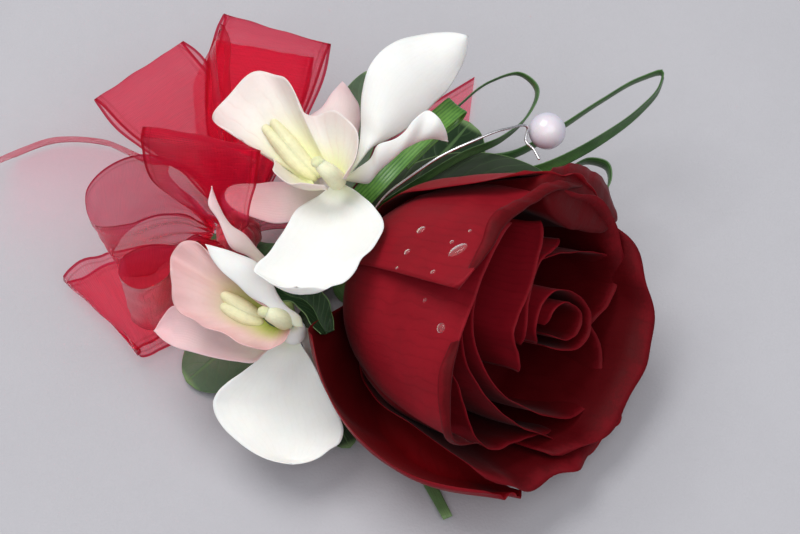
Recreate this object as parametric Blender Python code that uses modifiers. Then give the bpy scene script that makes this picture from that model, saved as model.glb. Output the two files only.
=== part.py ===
"""A rose and orchid corsage with an organza bow, lying on a table.

A rose lies on its side, its bloom towards +X and tipped up. Two orchids sit over its base, and a bow of
organza ribbon is tied to the stems at the left. Leaves and loops of grass stand round them, and a pearl
rides on a wire. Lengths are in millimetres and become metres where a mesh is made.
"""

import math
from dataclasses import dataclass

import bmesh
import bpy
import numpy as np

MM = 0.001
GAP = 0.3                      # clearance between pieces that touch

ROSE_SHEET = 0.7               # petal thickness
ORCHID_SHEET = 0.8
LEAF_SHEET = 0.7
GRASS_SHEET = 0.7
RIBBON_SHEET = 0.6
RIBBON_HALF = 12.5             # half the ribbon's width

# The rose: where its bloom starts, the way it faces, and the side that is turned up.
ROSE_BASE = np.array([-6.3, -0.5, 10.5])
ROSE_AXIS = np.array([0.730, -0.439, 0.524])
ROSE_FRONT = np.array([-0.657, -0.236, 0.716])

HANDLE = 4.5                   # radius of the taped stems
HANDLE_ROUTE = [(-14.6, 4.9, 6.0), (-20.5, 7.2, 4.9), (-32.0, 9.8, 4.6), (-45.0, 13.5, 4.6)]

KNOT = np.array([-36.2, 11.0, 15.4])
KNOT_RADIUS = 5.4


def unit(v):
    v = np.asarray(v, float)
    return v / np.linalg.norm(v)


def smooth(knots, values, t):
    """The smooth curve through values at the knots, read at t."""
    values = np.asarray(values, float)
    slopes = np.gradient(values, knots, axis=0)
    i = int(np.clip(np.searchsorted(knots, t, side="right") - 1, 0, len(knots) - 2))
    step = knots[i + 1] - knots[i]
    s = (t - knots[i]) / step
    return (
        (2 * s**3 - 3 * s**2 + 1) * values[i]
        + (s**3 - 2 * s**2 + s) * step * slopes[i]
        + (3 * s**2 - 2 * s**3) * values[i + 1]
        + (s**3 - s**2) * step * slopes[i + 1]
    )


def even(values, t):
    """The smooth curve through evenly spaced values, read at t from 0 to 1."""
    if len(values) == 1:
        return np.array(values[0], float)
    return smooth(np.linspace(0.0, 1.0, len(values)), values, t)


@dataclass
class Blade:
    """A strip along a spine: a sepal, leaf, grass blade or ribbon.

    sides holds the direction across the strip, and halves its half width, from root to tip. cup bends
    it across, in radians from the middle to the edge, and ruffle waves its edges. slant cuts its tip
    aslant, as a share of its length.
    """

    spine: list
    sides: list
    halves: list
    cup: float = 0.0
    ruffle: float = 0.0
    waves: float = 3.0
    slant: float = 0.0

    def __post_init__(self):
        self.spine = np.array(self.spine, float)
        steps = np.linalg.norm(np.diff(self.spine, axis=0), axis=1)
        self.knots = np.concatenate([[0.0], np.cumsum(steps)]) / steps.sum()

    def frame(self, t):
        """Centre, side and normal of the strip at t."""
        near, far = max(t - 0.004, 0.0), min(t + 0.004, 1.0)
        centre = smooth(self.knots, self.spine, t)
        along = unit(smooth(self.knots, self.spine, far) - smooth(self.knots, self.spine, near))
        if len(self.sides) == len(self.spine):
            side = smooth(self.knots, self.sides, t)
        else:
            side = even(self.sides, t)
        side = unit(side - along * side.dot(along))
        return centre, side, np.cross(side, along)

    def point(self, u, t):
        t *= 1.0 - self.slant * (1.0 - u) / 2.0
        centre, side, normal = self.frame(t)
        half = even(self.halves, t)
        across, rise = u * half, 0.0
        if self.cup:
            across = math.sin(u * self.cup) / self.cup * half
            rise = (1.0 - math.cos(u * self.cup)) / self.cup * half
        rise += self.ruffle * u * abs(u) * math.sin(self.waves * math.pi * t + 0.6 * u)
        return centre + side * across + normal * rise


@dataclass
class RosePetal:
    """A petal wrapped round the rose's axis.

    turn and span are degrees round the axis, from the side turned up. The petal rises to height and is
    belly wide at its middle and rim wide at its top, where it rolls out by roll degrees. spiral winds
    it in from one side edge to the other, and outline rounds its top.
    """

    turn: float
    span: float
    height: float
    belly: float
    rim: float
    roll: float = 0.0
    roll_radius: float = 3.0
    spiral: float = 0.0
    tilt: float = 0.0
    outline: float = 3.0
    narrow: float = 0.45
    wave: float = 0.0

    def point(self, u, v):
        roll = math.radians(self.roll) * (1.0 - 0.35 * u * u)
        goblet = self.height * 1.1
        share = goblet / (goblet + self.roll_radius * roll)
        q = min(v / share, 1.0)
        stations = [0.0, 0.06, 0.16, 0.32, 0.62, 1.0]
        radii = [4.0, 10.0, 0.66 * self.belly, 0.86 * self.belly, self.belly, self.rim]
        radius = smooth(stations, radii, q)
        height = self.height * q
        if v > share and roll > 0.0:
            slope = (radius - smooth(stations, radii, 0.97)) / (0.03 * self.height)
            start = math.atan(slope)
            angle = start + roll * (v - share) / (1.0 - share)
            radius += self.roll_radius * (math.cos(start) - math.cos(angle))
            height += self.roll_radius * (math.sin(angle) - math.sin(start))
        above = max(v - 0.3, 0.0) / 0.7
        width = self.narrow + (1.0 - self.narrow) * (1.0 - above**self.outline) ** (1.0 / self.outline)
        radius += (self.spiral * u + self.wave * math.sin(2.5 * math.pi * u + self.turn)) * v
        height -= self.tilt * u * v + 0.06 * self.height * u**4 * v
        angle = math.radians(self.turn + 0.5 * self.span * width * u)
        return rose_point(angle, radius, height)


ROSE_UP = np.cross(ROSE_FRONT, ROSE_AXIS)


def rose_point(angle, radius, height):
    """A point from its angle, radius and height on the rose's axis, pressed in where it meets the table."""
    out = unit(ROSE_FRONT) * math.cos(angle) + unit(ROSE_UP) * math.sin(angle)
    if out[2] < -0.05:
        limit = (ROSE_BASE[2] + ROSE_AXIS[2] * height - 1.75) / -out[2]
        if radius > limit:
            radius = limit + 0.03 * (radius - limit)
    return ROSE_BASE + unit(ROSE_AXIS) * height + out * radius


@dataclass
class OrchidLip:
    """The lip of an orchid: a scoop from the throat, round the column, out to its wavy rim.

    throat and rim hold points from one end to the other, and sags how far the scoop hangs at each.
    """

    throat: list
    rim: list
    sags: list

    def point(self, u, v):
        t = (u + 1.0) / 2.0
        inner, outer = even(self.throat, t), even(self.rim, t)
        middle = (inner + outer) / 2.0 - np.array([0.0, 0.0, even(self.sags, t)])
        return inner * (1.0 - v) ** 2 + middle * 2.0 * v * (1.0 - v) + outer * v**2


def new_material(name, colour, roughness, metallic=0.0):
    material = bpy.data.materials.new(name)
    material.use_nodes = True
    shader = material.node_tree.nodes["Principled BSDF"]
    shader.inputs["Base Color"].default_value = (*colour, 1.0)
    shader.inputs["Roughness"].default_value = roughness
    shader.inputs["Metallic"].default_value = metallic
    return material


def new_object(name, mesh, collection):
    obj = bpy.data.objects.new(name, mesh)
    collection.objects.link(obj)
    return obj


def bake(obj):
    """Turns an object and its modifiers into a plain mesh."""
    view = bpy.context.view_layer
    view.update()
    mesh = bpy.data.meshes.new_from_object(obj.evaluated_get(view.depsgraph))
    obj.modifiers.clear()
    obj.data = mesh
    return obj


def sheet(name, surface, across, along, thickness, collection):
    """A grid laid on a surface and given its thickness."""
    bm = bmesh.new()
    bmesh.ops.create_grid(bm, x_segments=across, y_segments=along, size=1.0)
    for vert in bm.verts:
        vert.co = surface(vert.co.x, (vert.co.y + 1.0) / 2.0) * MM
    bmesh.ops.triangulate(bm, faces=bm.faces)
    mesh = bpy.data.meshes.new(name)
    bm.to_mesh(mesh)
    bm.free()
    obj = new_object(name, mesh, collection)
    solidify = obj.modifiers.new("Thickness", "SOLIDIFY")
    solidify.thickness = thickness * MM
    solidify.offset = 0.0
    return bake(obj)


def ball(name, centre, radii, collection, rings=8):
    """A ball, or an egg when radii differ."""
    bm = bmesh.new()
    bmesh.ops.create_uvsphere(bm, u_segments=2 * rings, v_segments=rings, radius=1.0)
    for vert in bm.verts:
        vert.co = (np.array(vert.co) * np.array(radii) + np.array(centre)) * MM
    bmesh.ops.triangulate(bm, faces=bm.faces)
    mesh = bpy.data.meshes.new(name)
    bm.to_mesh(mesh)
    bm.free()
    return new_object(name, mesh, collection)


def tube(name, route, radii, collection, stations=12, resolution=2):
    """A round stem or wire along a smooth route, as a closed mesh."""
    route = np.array(route, float)
    steps = np.linalg.norm(np.diff(route, axis=0), axis=1)
    knots = np.concatenate([[0.0], np.cumsum(steps)]) / steps.sum()
    curve = bpy.data.curves.new(name, "CURVE")
    curve.dimensions = "3D"
    curve.bevel_depth = 1.0 * MM
    curve.bevel_resolution = resolution
    curve.use_fill_caps = True
    spline = curve.splines.new("POLY")
    spline.points.add(stations - 1)
    for k, t in enumerate(np.linspace(0.0, 1.0, stations)):
        spline.points[k].co = (*(smooth(knots, route, t) * MM), 1.0)
        spline.points[k].radius = even(radii, t)
    obj = new_object(name, curve, collection)
    view = bpy.context.view_layer
    view.update()
    mesh = bpy.data.meshes.new_from_object(obj.evaluated_get(view.depsgraph))
    bm = bmesh.new()
    bm.from_mesh(mesh)
    bmesh.ops.remove_doubles(bm, verts=bm.verts, dist=0.00001)
    bmesh.ops.triangulate(bm, faces=bm.faces)
    bm.to_mesh(mesh)
    bm.free()
    solid = new_object(name, mesh, collection)
    bpy.data.objects.remove(obj)
    solid.name = name
    return solid


def loose_bodies(bm):
    """The faces of a mesh in connected groups."""
    left, groups = set(bm.faces), []
    while left:
        stack = [left.pop()]
        group = []
        while stack:
            face = stack.pop()
            group.append(face)
            for edge in face.edges:
                for other in edge.link_faces:
                    if other in left:
                        left.remove(other)
                        stack.append(other)
        groups.append(group)
    return groups


def volume(faces):
    total = 0.0
    for face in faces:
        a, b, c = (v.co for v in face.verts)
        total += a.dot(b.cross(c)) / 6.0
    return total


def fuse(name, pieces, collection, solver="MANIFOLD"):
    """Joins pieces into one solid, fills sealed hollows and drops loose scraps."""
    first, rest = pieces[0], pieces[1:]
    others = bpy.data.collections.new(name + " pieces")
    bpy.context.scene.collection.children.link(others)
    for piece in rest:
        for home in list(piece.users_collection):
            home.objects.unlink(piece)
        others.objects.link(piece)
    union = first.modifiers.new("Union", "BOOLEAN")
    union.operation = "UNION"
    union.operand_type = "COLLECTION"
    union.collection = others
    union.solver = solver
    bake(first)
    for piece in rest:
        bpy.data.objects.remove(piece)
    bpy.data.collections.remove(others)
    bm = bmesh.new()
    bm.from_mesh(first.data)
    bmesh.ops.triangulate(bm, faces=bm.faces)
    groups = sorted(loose_bodies(bm), key=volume)
    for group in groups[:-1]:
        bmesh.ops.delete(bm, geom=group, context="FACES")
    bm.to_mesh(first.data)
    bm.free()
    first.name = name
    return first


def knot_seat(x, y, z):
    """A point just off the knot, in a direction from its middle."""
    return KNOT + unit((x, y, z)) * (KNOT_RADIUS + 0.7)


def handle_seat(along, degrees):
    """A point just off the taped stems: how far along them, and degrees from the top towards -Y."""
    route = np.array(HANDLE_ROUTE)
    knots = np.linspace(0.0, 1.0, len(route))
    ahead = unit(smooth(knots, route, along + 0.01) - smooth(knots, route, max(along - 0.01, 0.0)))
    top = unit(np.array([0.0, 0.0, 1.0]) - ahead * ahead[2])
    side = np.cross(top, ahead)
    turn = math.radians(degrees)
    return smooth(knots, route, along) + (top * math.cos(turn) + side * math.sin(turn)) * (HANDLE + 0.6)


# Rose petals, from the heart outwards.
ROSE_PETALS = [
    RosePetal(120, 190, 51.0, 6.0, 7.4, spiral=1.2, narrow=0.85),
    RosePetal(-45, 170, 51.0, 7.6, 8.6, spiral=-1.2, narrow=0.85),
    RosePetal(10, 140, 51.5, 11.5, 14.0, spiral=3.6, narrow=0.85),
    RosePetal(125, 100, 50.5, 12.5, 16.2, spiral=-1.5, narrow=0.85),
    RosePetal(-130, 120, 50.0, 13.0, 16.5, roll=40, spiral=2.2, narrow=0.8),
    RosePetal(70, 90, 49.5, 16.0, 18.5, roll=30, spiral=1.0, narrow=0.8),
    RosePetal(-45, 110, 48.5, 18.0, 20.5, roll=50, spiral=-1.5, narrow=0.8),
    RosePetal(170, 100, 49.5, 17.5, 21.0, roll=40, narrow=0.8),
    RosePetal(-100, 100, 48.5, 20.5, 23.0, roll=60, spiral=1.5, narrow=0.8),
    RosePetal(-20, 110, 45.5, 25.3, 26.5, roll=95, roll_radius=3.0, spiral=-3.0, tilt=-4.0, narrow=0.85),
    RosePetal(56, 112, 46.5, 26.5, 26.8, roll=110, roll_radius=3.0, spiral=0.6, narrow=0.9),
    RosePetal(118, 110, 49.0, 26.5, 29.5, roll=80, roll_radius=4.0, spiral=0.8, narrow=0.85),
    RosePetal(-165, 110, 50.5, 26.0, 30.0, roll=45, roll_radius=4.0, narrow=0.85),
    RosePetal(-116, 104, 48.5, 26.6, 32.0, roll=50, roll_radius=4.0, spiral=1.0, narrow=0.8),
    RosePetal(-94, 146, 48.5, 38.5, 37.0, outline=0.75, narrow=0.12),
    RosePetal(100, 92, 46.5, 28.8, 31.5, roll=20, roll_radius=5.0, outline=2.6, narrow=0.6),
    RosePetal(-150, 110, 47.0, 28.0, 33.0, roll=35, roll_radius=5.0, outline=2.6, narrow=0.5),
]

# The bow's stations are points along the middle of the ribbon.
LOOPS = {
    "ribbon_front_loop": Blade(
        [knot_seat(-0.1, -0.30, 1.0), (-37.2, 6.8, 34.6), (-38.4, 8.3, 40.2), (-40.2, 11.8, 45.6),
         (-41.4, 15.0, 48.8), (-41.5, 16.7, 48.0), (-41.4, 17.8, 43.8), (-40.6, 19.8, 35.6),
         (-39.0, 19.2, 27.4), knot_seat(-0.15, 0.6, 0.85)],
        [(0.95, -0.28, 0.08)],
        [2.0, 5.2, 8.8, 12.0, 12.7, 12.7, 12.2, 10.6, 6.5, 2.0], cup=-0.3,
    ),
    "ribbon_round_loop": Blade(
        [knot_seat(-0.97, 0.30, 0.0), (-46.4, 18.2, 14.2), (-54.0, 21.8, 14.4), (-62.0, 18.0, 18.2),
         (-66.3, 9.8, 20.8), (-64.0, 3.4, 21.6), (-58.0, 3.2, 21.8), (-52.0, 6.0, 21.0),
         (-46.5, 8.6, 18.0), knot_seat(-1.0, -0.15, 0.1)],
        [(-0.17, 0.0, 0.98)],
        [2.0, 7.0, 11.5, 12.5, 12.5, 11.8, 11.5, 10.5, 6.5, 2.0],
    ),
    "ribbon_curl": Blade(
        [knot_seat(-0.8, -0.6, 0.15), (-45.5, 4.2, 18.0), (-50.0, 0.4, 20.0), (-55.0, -0.8, 20.8),
         (-59.4, -3.4, 20.8), (-59.8, -8.0, 20.8), (-55.6, -11.0, 20.8), (-50.6, -9.0, 20.8),
         (-48.2, -4.8, 20.4), (-45.4, 0.0, 18.2), knot_seat(-0.6, -0.85, 0.15)],
        [(0.0, -0.1, 0.99)],
        [2.0, 7.0, 11.0, 12.3, 12.3, 12.3, 12.3, 12.3, 11.0, 7.0, 2.0],
    ),
    "ribbon_lower_loop": Blade(
        [knot_seat(-0.80, -0.38, -0.47), (-47.0, 5.6, 7.6), (-54.5, 2.8, 6.2), (-61.0, -0.6, 6.6),
         (-65.6, -2.9, 6.2), (-67.2, -3.8, 4.2), (-65.6, -2.9, 2.2), (-60.0, 0.0, 1.3),
         (-53.0, 3.2, 1.4), (-47.0, 4.4, 3.2), knot_seat(-0.50, -0.66, -0.56)],
        [(0.727, -0.686, 0.0)],
        [2.0, 5.0, 9.4, 12.2, 13.0, 13.0, 13.0, 12.2, 9.4, 5.0, 2.0],
    ),
}

# Loops and tails whose roots the knot holds, and which it joins.
BOW_STRIPS = {
    "left loop": Blade(
        [(-37.5, 15.0, 18.0), (-42.0, 25.0, 24.6), (-49.4, 35.4, 27.0), (-57.2, 44.8, 27.8),
         (-59.3, 47.2, 26.3), (-57.6, 45.2, 24.8), (-49.8, 35.8, 23.8), (-42.2, 25.4, 21.6), (-37.5, 15.0, 16.4)],
        [(0.776, 0.631, 0.0)],
        [3.0, 5.4, 10.0, 12.5, 12.5, 12.5, 10.0, 5.4, 3.0],
    ),
    "top loop": Blade(
        [(-36.0, 14.5, 17.0), (-34.5, 26.0, 24.5), (-31.8, 41.0, 28.0), (-28.9, 55.5, 27.8),
         (-28.2, 58.8, 25.4), (-28.9, 55.5, 23.0), (-31.8, 41.0, 22.6), (-34.5, 26.0, 20.0), (-36.0, 14.8, 16.0)],
        [(0.94, -0.336, 0.0)],
        [3.0, 7.5, 11.0, 12.8, 13.0, 12.8, 11.0, 7.5, 3.0],
    ),
    "inner top loop": Blade(
        [(-36.0, 14.5, 16.6), (-35.0, 26.0, 23.0), (-33.2, 39.0, 26.4), (-31.6, 51.0, 26.6),
         (-31.2, 53.6, 25.4), (-31.6, 51.0, 24.2), (-33.2, 39.0, 24.2), (-35.0, 26.0, 21.4), (-36.0, 14.8, 16.2)],
        [(0.97, -0.24, 0.0)],
        [2.6, 6.5, 9.8, 11.6, 11.8, 11.6, 9.8, 6.5, 2.6],
    ),
    "side loop": Blade(
        [(-37.5, 14.5, 16.0), (-40.5, 28.0, 21.0), (-42.6, 44.0, 24.5), (-43.6, 55.5, 25.0),
         (-44.6, 57.3, 25.2), (-45.8, 55.5, 25.4), (-45.6, 44.0, 24.0), (-42.6, 28.0, 20.0), (-37.8, 14.8, 15.4)],
        [(-0.35, -0.42, 0.84)],
        [2.6, 6.0, 9.0, 10.5, 10.5, 10.5, 9.0, 6.0, 2.6],
    ),
    "long tail": Blade(
        [(-38.4, 15.4, 14.0), (-43.0, 24.4, 12.6), (-50.0, 30.2, 12.6), (-58.0, 32.6, 12.6),
         (-68.0, 37.2, 12.4), (-79.0, 38.0, 12.3), (-90.0, 33.6, 12.2), (-101.0, 27.0, 12.2)],
        [(0.0, -0.469, 0.883)],
        [2.6, 4.6, 8.6, 11.8, 12.4, 12.4, 12.4, 12.4],
        slant=0.2,
    ),
    "short tail": Blade(
        [(-35.0, 15.0, 12.5), (-30.4, 21.0, 6.4), (-20.0, 25.6, 1.5), (-5.0, 31.0, 0.9),
         (10.0, 41.0, 0.9), (25.0, 51.4, 1.0)],
        [(0.2, 0.9, 0.3), (-0.5, 0.86, 0.0), (-0.65, 0.76, 0.0)],
        [2.6, 4.6, 9.0, 12.5, 12.5, 12.5],
        slant=0.30,
    ),
}

LEAVES = {
    "leaf_left": Blade(
        [handle_seat(0.50, 120), (-30.5, -3.5, 3.4), (-36.0, -9.6, 3.8), (-42.0, -14.8, 3.2), (-47.6, -19.2, 1.4)],
        [(0.6, -0.8, 0.0)], [1.2, 5.0, 8.0, 8.6, 7.2, 2.0], cup=0.3,
    ),
    "leaf_front": Blade(
        [handle_seat(0.16, 115), (-19.6, -7.0, 4.8), (-18.4, -16.0, 4.4), (-15.6, -25.5, 3.0), (-11.0, -35.0, 1.0)],
        [(0.95, 0.25, 0.0)], [1.2, 4.6, 6.2, 6.0, 4.4, 1.4], cup=0.3,
    ),
    "leaf_back": Blade(
        [handle_seat(0.34, -62), (-19.0, 22.0, 9.4), (-14.5, 32.0, 10.4), (-10.4, 44.0, 11.0), (-6.4, 56.6, 11.6)],
        [(0.96, -0.28, 0.0)], [1.2, 4.4, 6.6, 6.8, 5.0, 1.4], cup=0.35,
    ),
    "leaf_round": Blade(
        [handle_seat(0.10, -84), (-7.4, 19.5, 6.0), (2.5, 28.5, 6.6), (10.5, 37.5, 6.6), (16.5, 46.0, 5.6)],
        [(0.75, -0.66, 0.0)], [1.2, 5.4, 9.4, 10.6, 8.0, 2.4], cup=0.3,
    ),
    "leaf_long": Blade(
        [handle_seat(0.03, -30), (-5.0, 14.4, 15.4), (7.0, 20.6, 18.6), (19.5, 23.6, 19.4), (33.5, 22.6, 19.6)],
        [(-0.3, 0.8, 0.5)], [1.2, 4.6, 6.8, 6.6, 4.6, 1.4], cup=0.4,
    ),
    "leaf_curled": Blade(
        [handle_seat(0.24, 55), (-19.0, -1.0, 15.0), (-17.6, -6.6, 21.6), (-18.6, -10.2, 26.4), (-22.4, -9.6, 29.6),
         (-26.8, -9.6, 31.4)],
        [(-0.92, 0.36, -0.17), (-0.5, -0.85, -0.1), (-0.45, -0.85, -0.1)], [1.0, 2.4, 5.0, 5.4, 3.8, 1.0], cup=0.3,
    ),
}

GRASSES = {
    "grass_near_loop": Blade(
        [handle_seat(0.19, -22), (-8.0, 21.4, 17.0), (4.0, 32.5, 18.4), (12.6, 41.0, 19.5), (20.5, 46.4, 22.5),
         (27.0, 47.2, 24.5), (30.8, 42.5, 25.5), (28.6, 36.0, 24.8), (23.0, 30.6, 24.4), (14.0, 25.6, 25.2),
         (3.0, 18.6, 24.0), (-6.0, 13.4, 21.0), (-10.0, 12.0, 18.4)],
        [(0.3, 0.1, 0.95), (0.1, -0.5, 0.85), (0.3, 0.2, 0.93)], [1.2, 1.4, 1.4, 1.4, 1.2],
    ),
    "grass_far_loop": Blade(
        [handle_seat(0.27, -48), (-9.0, 23.4, 13.2), (8.0, 30.4, 13.0), (27.0, 32.6, 14.0), (36.5, 37.2, 17.0),
         (46.0, 42.4, 20.5), (55.0, 46.8, 23.0), (59.6, 47.6, 24.2), (58.8, 43.6, 25.0), (54.0, 37.4, 25.0),
         (46.0, 31.4, 23.5), (34.0, 26.2, 19.6), (20.0, 24.6, 14.6), (6.0, 20.6, 11.0), (-2.0, 17.2, 9.8)],
        [(0.2, 0.1, 0.95), (0.0, -0.5, 0.86), (0.2, 0.1, 0.95)], [1.2, 1.4, 1.4, 1.4, 1.2],
    ),
    "grass_short_loop": Blade(
        [handle_seat(0.10, -48), (2.0, 14.2, 9.6), (20.0, 19.4, 11.2), (36.0, 25.4, 16.0), (43.0, 27.8, 18.0),
         (46.4, 26.0, 19.0), (46.6, 21.0, 19.0), (42.0, 17.0, 17.0)],
        [(0.1, -0.4, 0.9), (0.1, -0.6, 0.8), (0.1, 0.2, 0.95)], [1.2, 1.8, 2.1, 2.1, 1.8],
    ),
    "grass_blade": Blade(
        [handle_seat(0.08, 8), (-13.0, 8.0, 20.0), (-10.2, 8.8, 31.0), (-6.0, 11.6, 35.2), (2.0, 20.6, 36.6),
         (9.0, 28.4, 36.0), (12.6, 32.4, 34.6), (12.0, 32.0, 33.0), (7.0, 27.0, 33.0), (0.0, 19.0, 33.0)],
        [(0.5, -0.8, 0.1), (0.7, -0.6, -0.1), (0.75, -0.66, -0.1)], [1.4, 2.4, 2.6, 2.6, 2.6, 2.4],
    ),
}

UPPER_HUB = np.array([-14.6, 11.2, 38.4])
LOWER_HUB = np.array([-22.8, -18.6, 25.4])
HUB_RADIUS = 2.8

UPPER_TEPALS = [
    Blade([UPPER_HUB, (-9.5, 17.0, 42.0), (-2.0, 26.5, 45.0), (6.5, 36.5, 46.0), (14.4, 44.6, 44.5)],
          [(0.64, -0.27, -0.71)], [2.0, 3.6, 9.0, 12.0, 11.4, 8.0, 2.0], cup=0.35),
    Blade([UPPER_HUB, (-14.0, 5.0, 42.4), (-13.6, 0.2, 44.8), (-16.4, -7.6, 46.4), (-21.0, -13.0, 46.8),
           (-27.2, -15.2, 46.2)],
          [(0.95, 0.30, 0.05), (0.97, 0.20, 0.05), (0.93, -0.20, 0.05), (0.90, -0.42, 0.05), (0.67, -0.74, 0.05),
           (0.40, -0.90, 0.05)],
          [2.0, 5.2, 8.8, 10.4, 10.4, 8.0, 2.6], cup=0.16),
    Blade([UPPER_HUB, (-9.5, 11.0, 41.6), (-4.0, 12.4, 43.4), (1.5, 14.4, 44.8), (6.0, 16.4, 45.6), (9.8, 17.4, 45.0)],
          [(0.1, -0.3, 0.95), (0.0, -0.2, 0.98), (-0.2, 0.8, 0.55)], [1.4, 1.9, 3.6, 5.6, 6.0, 4.6, 1.4], cup=0.5),
    Blade([UPPER_HUB, (-12.6, 19.0, 37.4), (-11.6, 28.5, 36.6), (-12.0, 37.0, 36.0)],
          [(0.95, 0.0, -0.3)], [1.8, 4.6, 6.8, 5.8, 1.4], cup=0.3),
    Blade([UPPER_HUB, (-20.5, 8.8, 35.8), (-24.8, 8.8, 33.4), (-28.6, 10.2, 31.0), (-33.8, 12.4, 28.6),
           (-38.6, 14.6, 27.2)],
          [(0.0, 0.85, 0.53)], [1.8, 3.8, 4.6, 3.4, 1.2], cup=0.3),
]

LOWER_TEPALS = [
    Blade([LOWER_HUB, (-25.0, -22.6, 24.2), (-26.6, -26.6, 22.2), (-27.6, -32.0, 18.8), (-27.4, -38.0, 15.8),
           (-26.8, -43.6, 12.8)],
          [(1.0, 0.0, 0.0)], [2.0, 4.4, 7.2, 12.2, 13.2, 10.6, 3.6], cup=0.3),
    Blade([LOWER_HUB, (-20.6, -17.2, 30.6), (-24.4, -17.4, 35.8), (-29.0, -15.2, 38.2), (-33.5, -13.0, 39.8),
           (-37.5, -10.6, 40.8), (-42.2, -7.2, 41.2)],
          [(0.33, 0.75, -0.57)], [1.6, 2.0, 3.4, 4.6, 4.8, 3.6, 1.0], cup=0.2),
    Blade([LOWER_HUB, (-26.2, -11.2, 24.4), (-28.8, -5.8, 27.2), (-31.3, -2.4, 32.4), (-34.8, 0.4, 38.0),
           (-38.2, 3.6, 41.4), (-40.8, 6.8, 42.6)],
          [(0.8, 0.3, -0.5)], [1.6, 2.2, 3.0, 3.0, 2.2, 0.8], cup=0.3),
    Blade([LOWER_HUB, (-29.6, -19.0, 24.6), (-37.5, -19.0, 23.6), (-45.3, -17.0, 21.8), (-52.4, -15.0, 20.5)],
          [(0.1, 0.9, 0.3)], [1.8, 4.2, 6.0, 6.2, 5.0, 2.0], cup=0.3),
    Blade([LOWER_HUB, (-21.2, -20.8, 22.0), (-19.2, -23.4, 18.6), (-17.8, -26.6, 15.2)],
          [(0.85, 0.5, 0.0)], [1.8, 3.0, 3.0, 2.4, 1.0], cup=0.3),
]

UPPER_LIP = OrchidLip(
    [(-11.7, 6.3, 45.6), (-13.2, 8.9, 44.3), (-15.8, 10.4, 43.5), (-18.4, 9.1, 43.5), (-17.9, 6.5, 44.1),
     (-15.3, 5.1, 45.1)],
    [(-12.0, 5.9, 48.1), (-9.3, 8.9, 52.1), (-8.9, 13.2, 53.1), (-10.6, 17.6, 53.1), (-14.0, 20.2, 52.1),
     (-17.9, 20.5, 50.1), (-21.1, 21.6, 51.1), (-22.6, 25.2, 52.1), (-25.8, 30.2, 51.1), (-29.8, 32.5, 49.1),
     (-34.6, 30.4, 47.1), (-38.7, 26.5, 45.6), (-40.2, 23.4, 44.3), (-37.2, 21.0, 42.7), (-32.8, 19.6, 40.4),
     (-27.8, 15.4, 42.0), (-26.9, 9.2, 47.8), (-25.9, 5.6, 50.6), (-23.1, 3.6, 51.1), (-19.9, 3.4, 50.6),
     (-15.8, 3.8, 49.1)],
    [0.0, 3.0, 3.0, 1.0, 2.0, 2.5, 2.0, 2.5, 4.0, 3.0, 0.0],
)
LOWER_LIP = OrchidLip(
    [(-22.7, -18.2, 30.4), (-25.4, -16.4, 30.0), (-28.2, -15.6, 29.4), (-29.3, -16.8, 29.0), (-27.3, -19.1, 29.0),
     (-23.8, -19.9, 29.6)],
    [(-23.3, -19.4, 32.0), (-26.2, -18.2, 33.6), (-29.5, -16.6, 35.4), (-33.1, -14.0, 36.4), (-37.2, -10.0, 37.0),
     (-40.8, -5.4, 36.6), (-43.8, -2.2, 36.0), (-46.6, -2.6, 35.0), (-49.2, -4.1, 34.5), (-48.6, -8.0, 34.5),
     (-48.9, -10.8, 34.0), (-48.2, -14.3, 32.5), (-46.0, -17.7, 31.5), (-42.7, -19.5, 30.5), (-38.1, -21.2, 31.0),
     (-34.6, -24.3, 32.0), (-31.1, -25.9, 32.5), (-27.8, -25.9, 32.0), (-24.9, -24.0, 31.0), (-23.1, -20.7, 30.4)],
    [0.0, 2.0, 2.0, 2.0, 2.0, 2.0, 1.5, 1.5, 2.0, 2.0, 0.0],
)
UPPER_COLUMN = [(-13.4, 8.0, 43.2), (-13.7, 6.6, 47.5), (-15.4, 6.9, 50.3), (-17.5, 8.5, 50.5)]
LOWER_COLUMN = [(-23.6, -18.4, 29.2), (-24.4, -18.8, 31.0), (-26.4, -18.7, 33.2), (-28.8, -17.9, 33.0)]

PEARL = np.array([31.5, 19.2, 46.0])
PEARL_RADIUS = 4.0
WIRE_RADIUS = 0.4
WIRE_ROUTE = [
    handle_seat(0.04, 30), (-12.6, 3.6, 20.0), (-7.6, 4.2, 32.0), (-2.8, 6.4, 41.0), (2.5, 7.8, 46.6),
    (8.0, 10.0, 50.2), (14.7, 12.8, 51.8), (22.6, 16.8, 50.8), (27.2, 18.6, 48.2), (26.8, 16.4, 46.6),
    (28.4, 14.0, 47.0), (29.6, 11.4, 47.0),
]


def build_rose(collection):
    pieces = [ball("core", rose_point(0.0, 0.0, 6.0), (7.0, 7.0, 7.0), collection, rings=6)]
    for k, petal in enumerate(ROSE_PETALS):
        across = max(4, round(petal.span / 20.0))
        along = 6 if petal.roll else 4
        pieces.append(sheet(f"petal {k}", petal.point, across, along, ROSE_SHEET, collection))
    return fuse("rose_bloom", pieces, collection)


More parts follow.
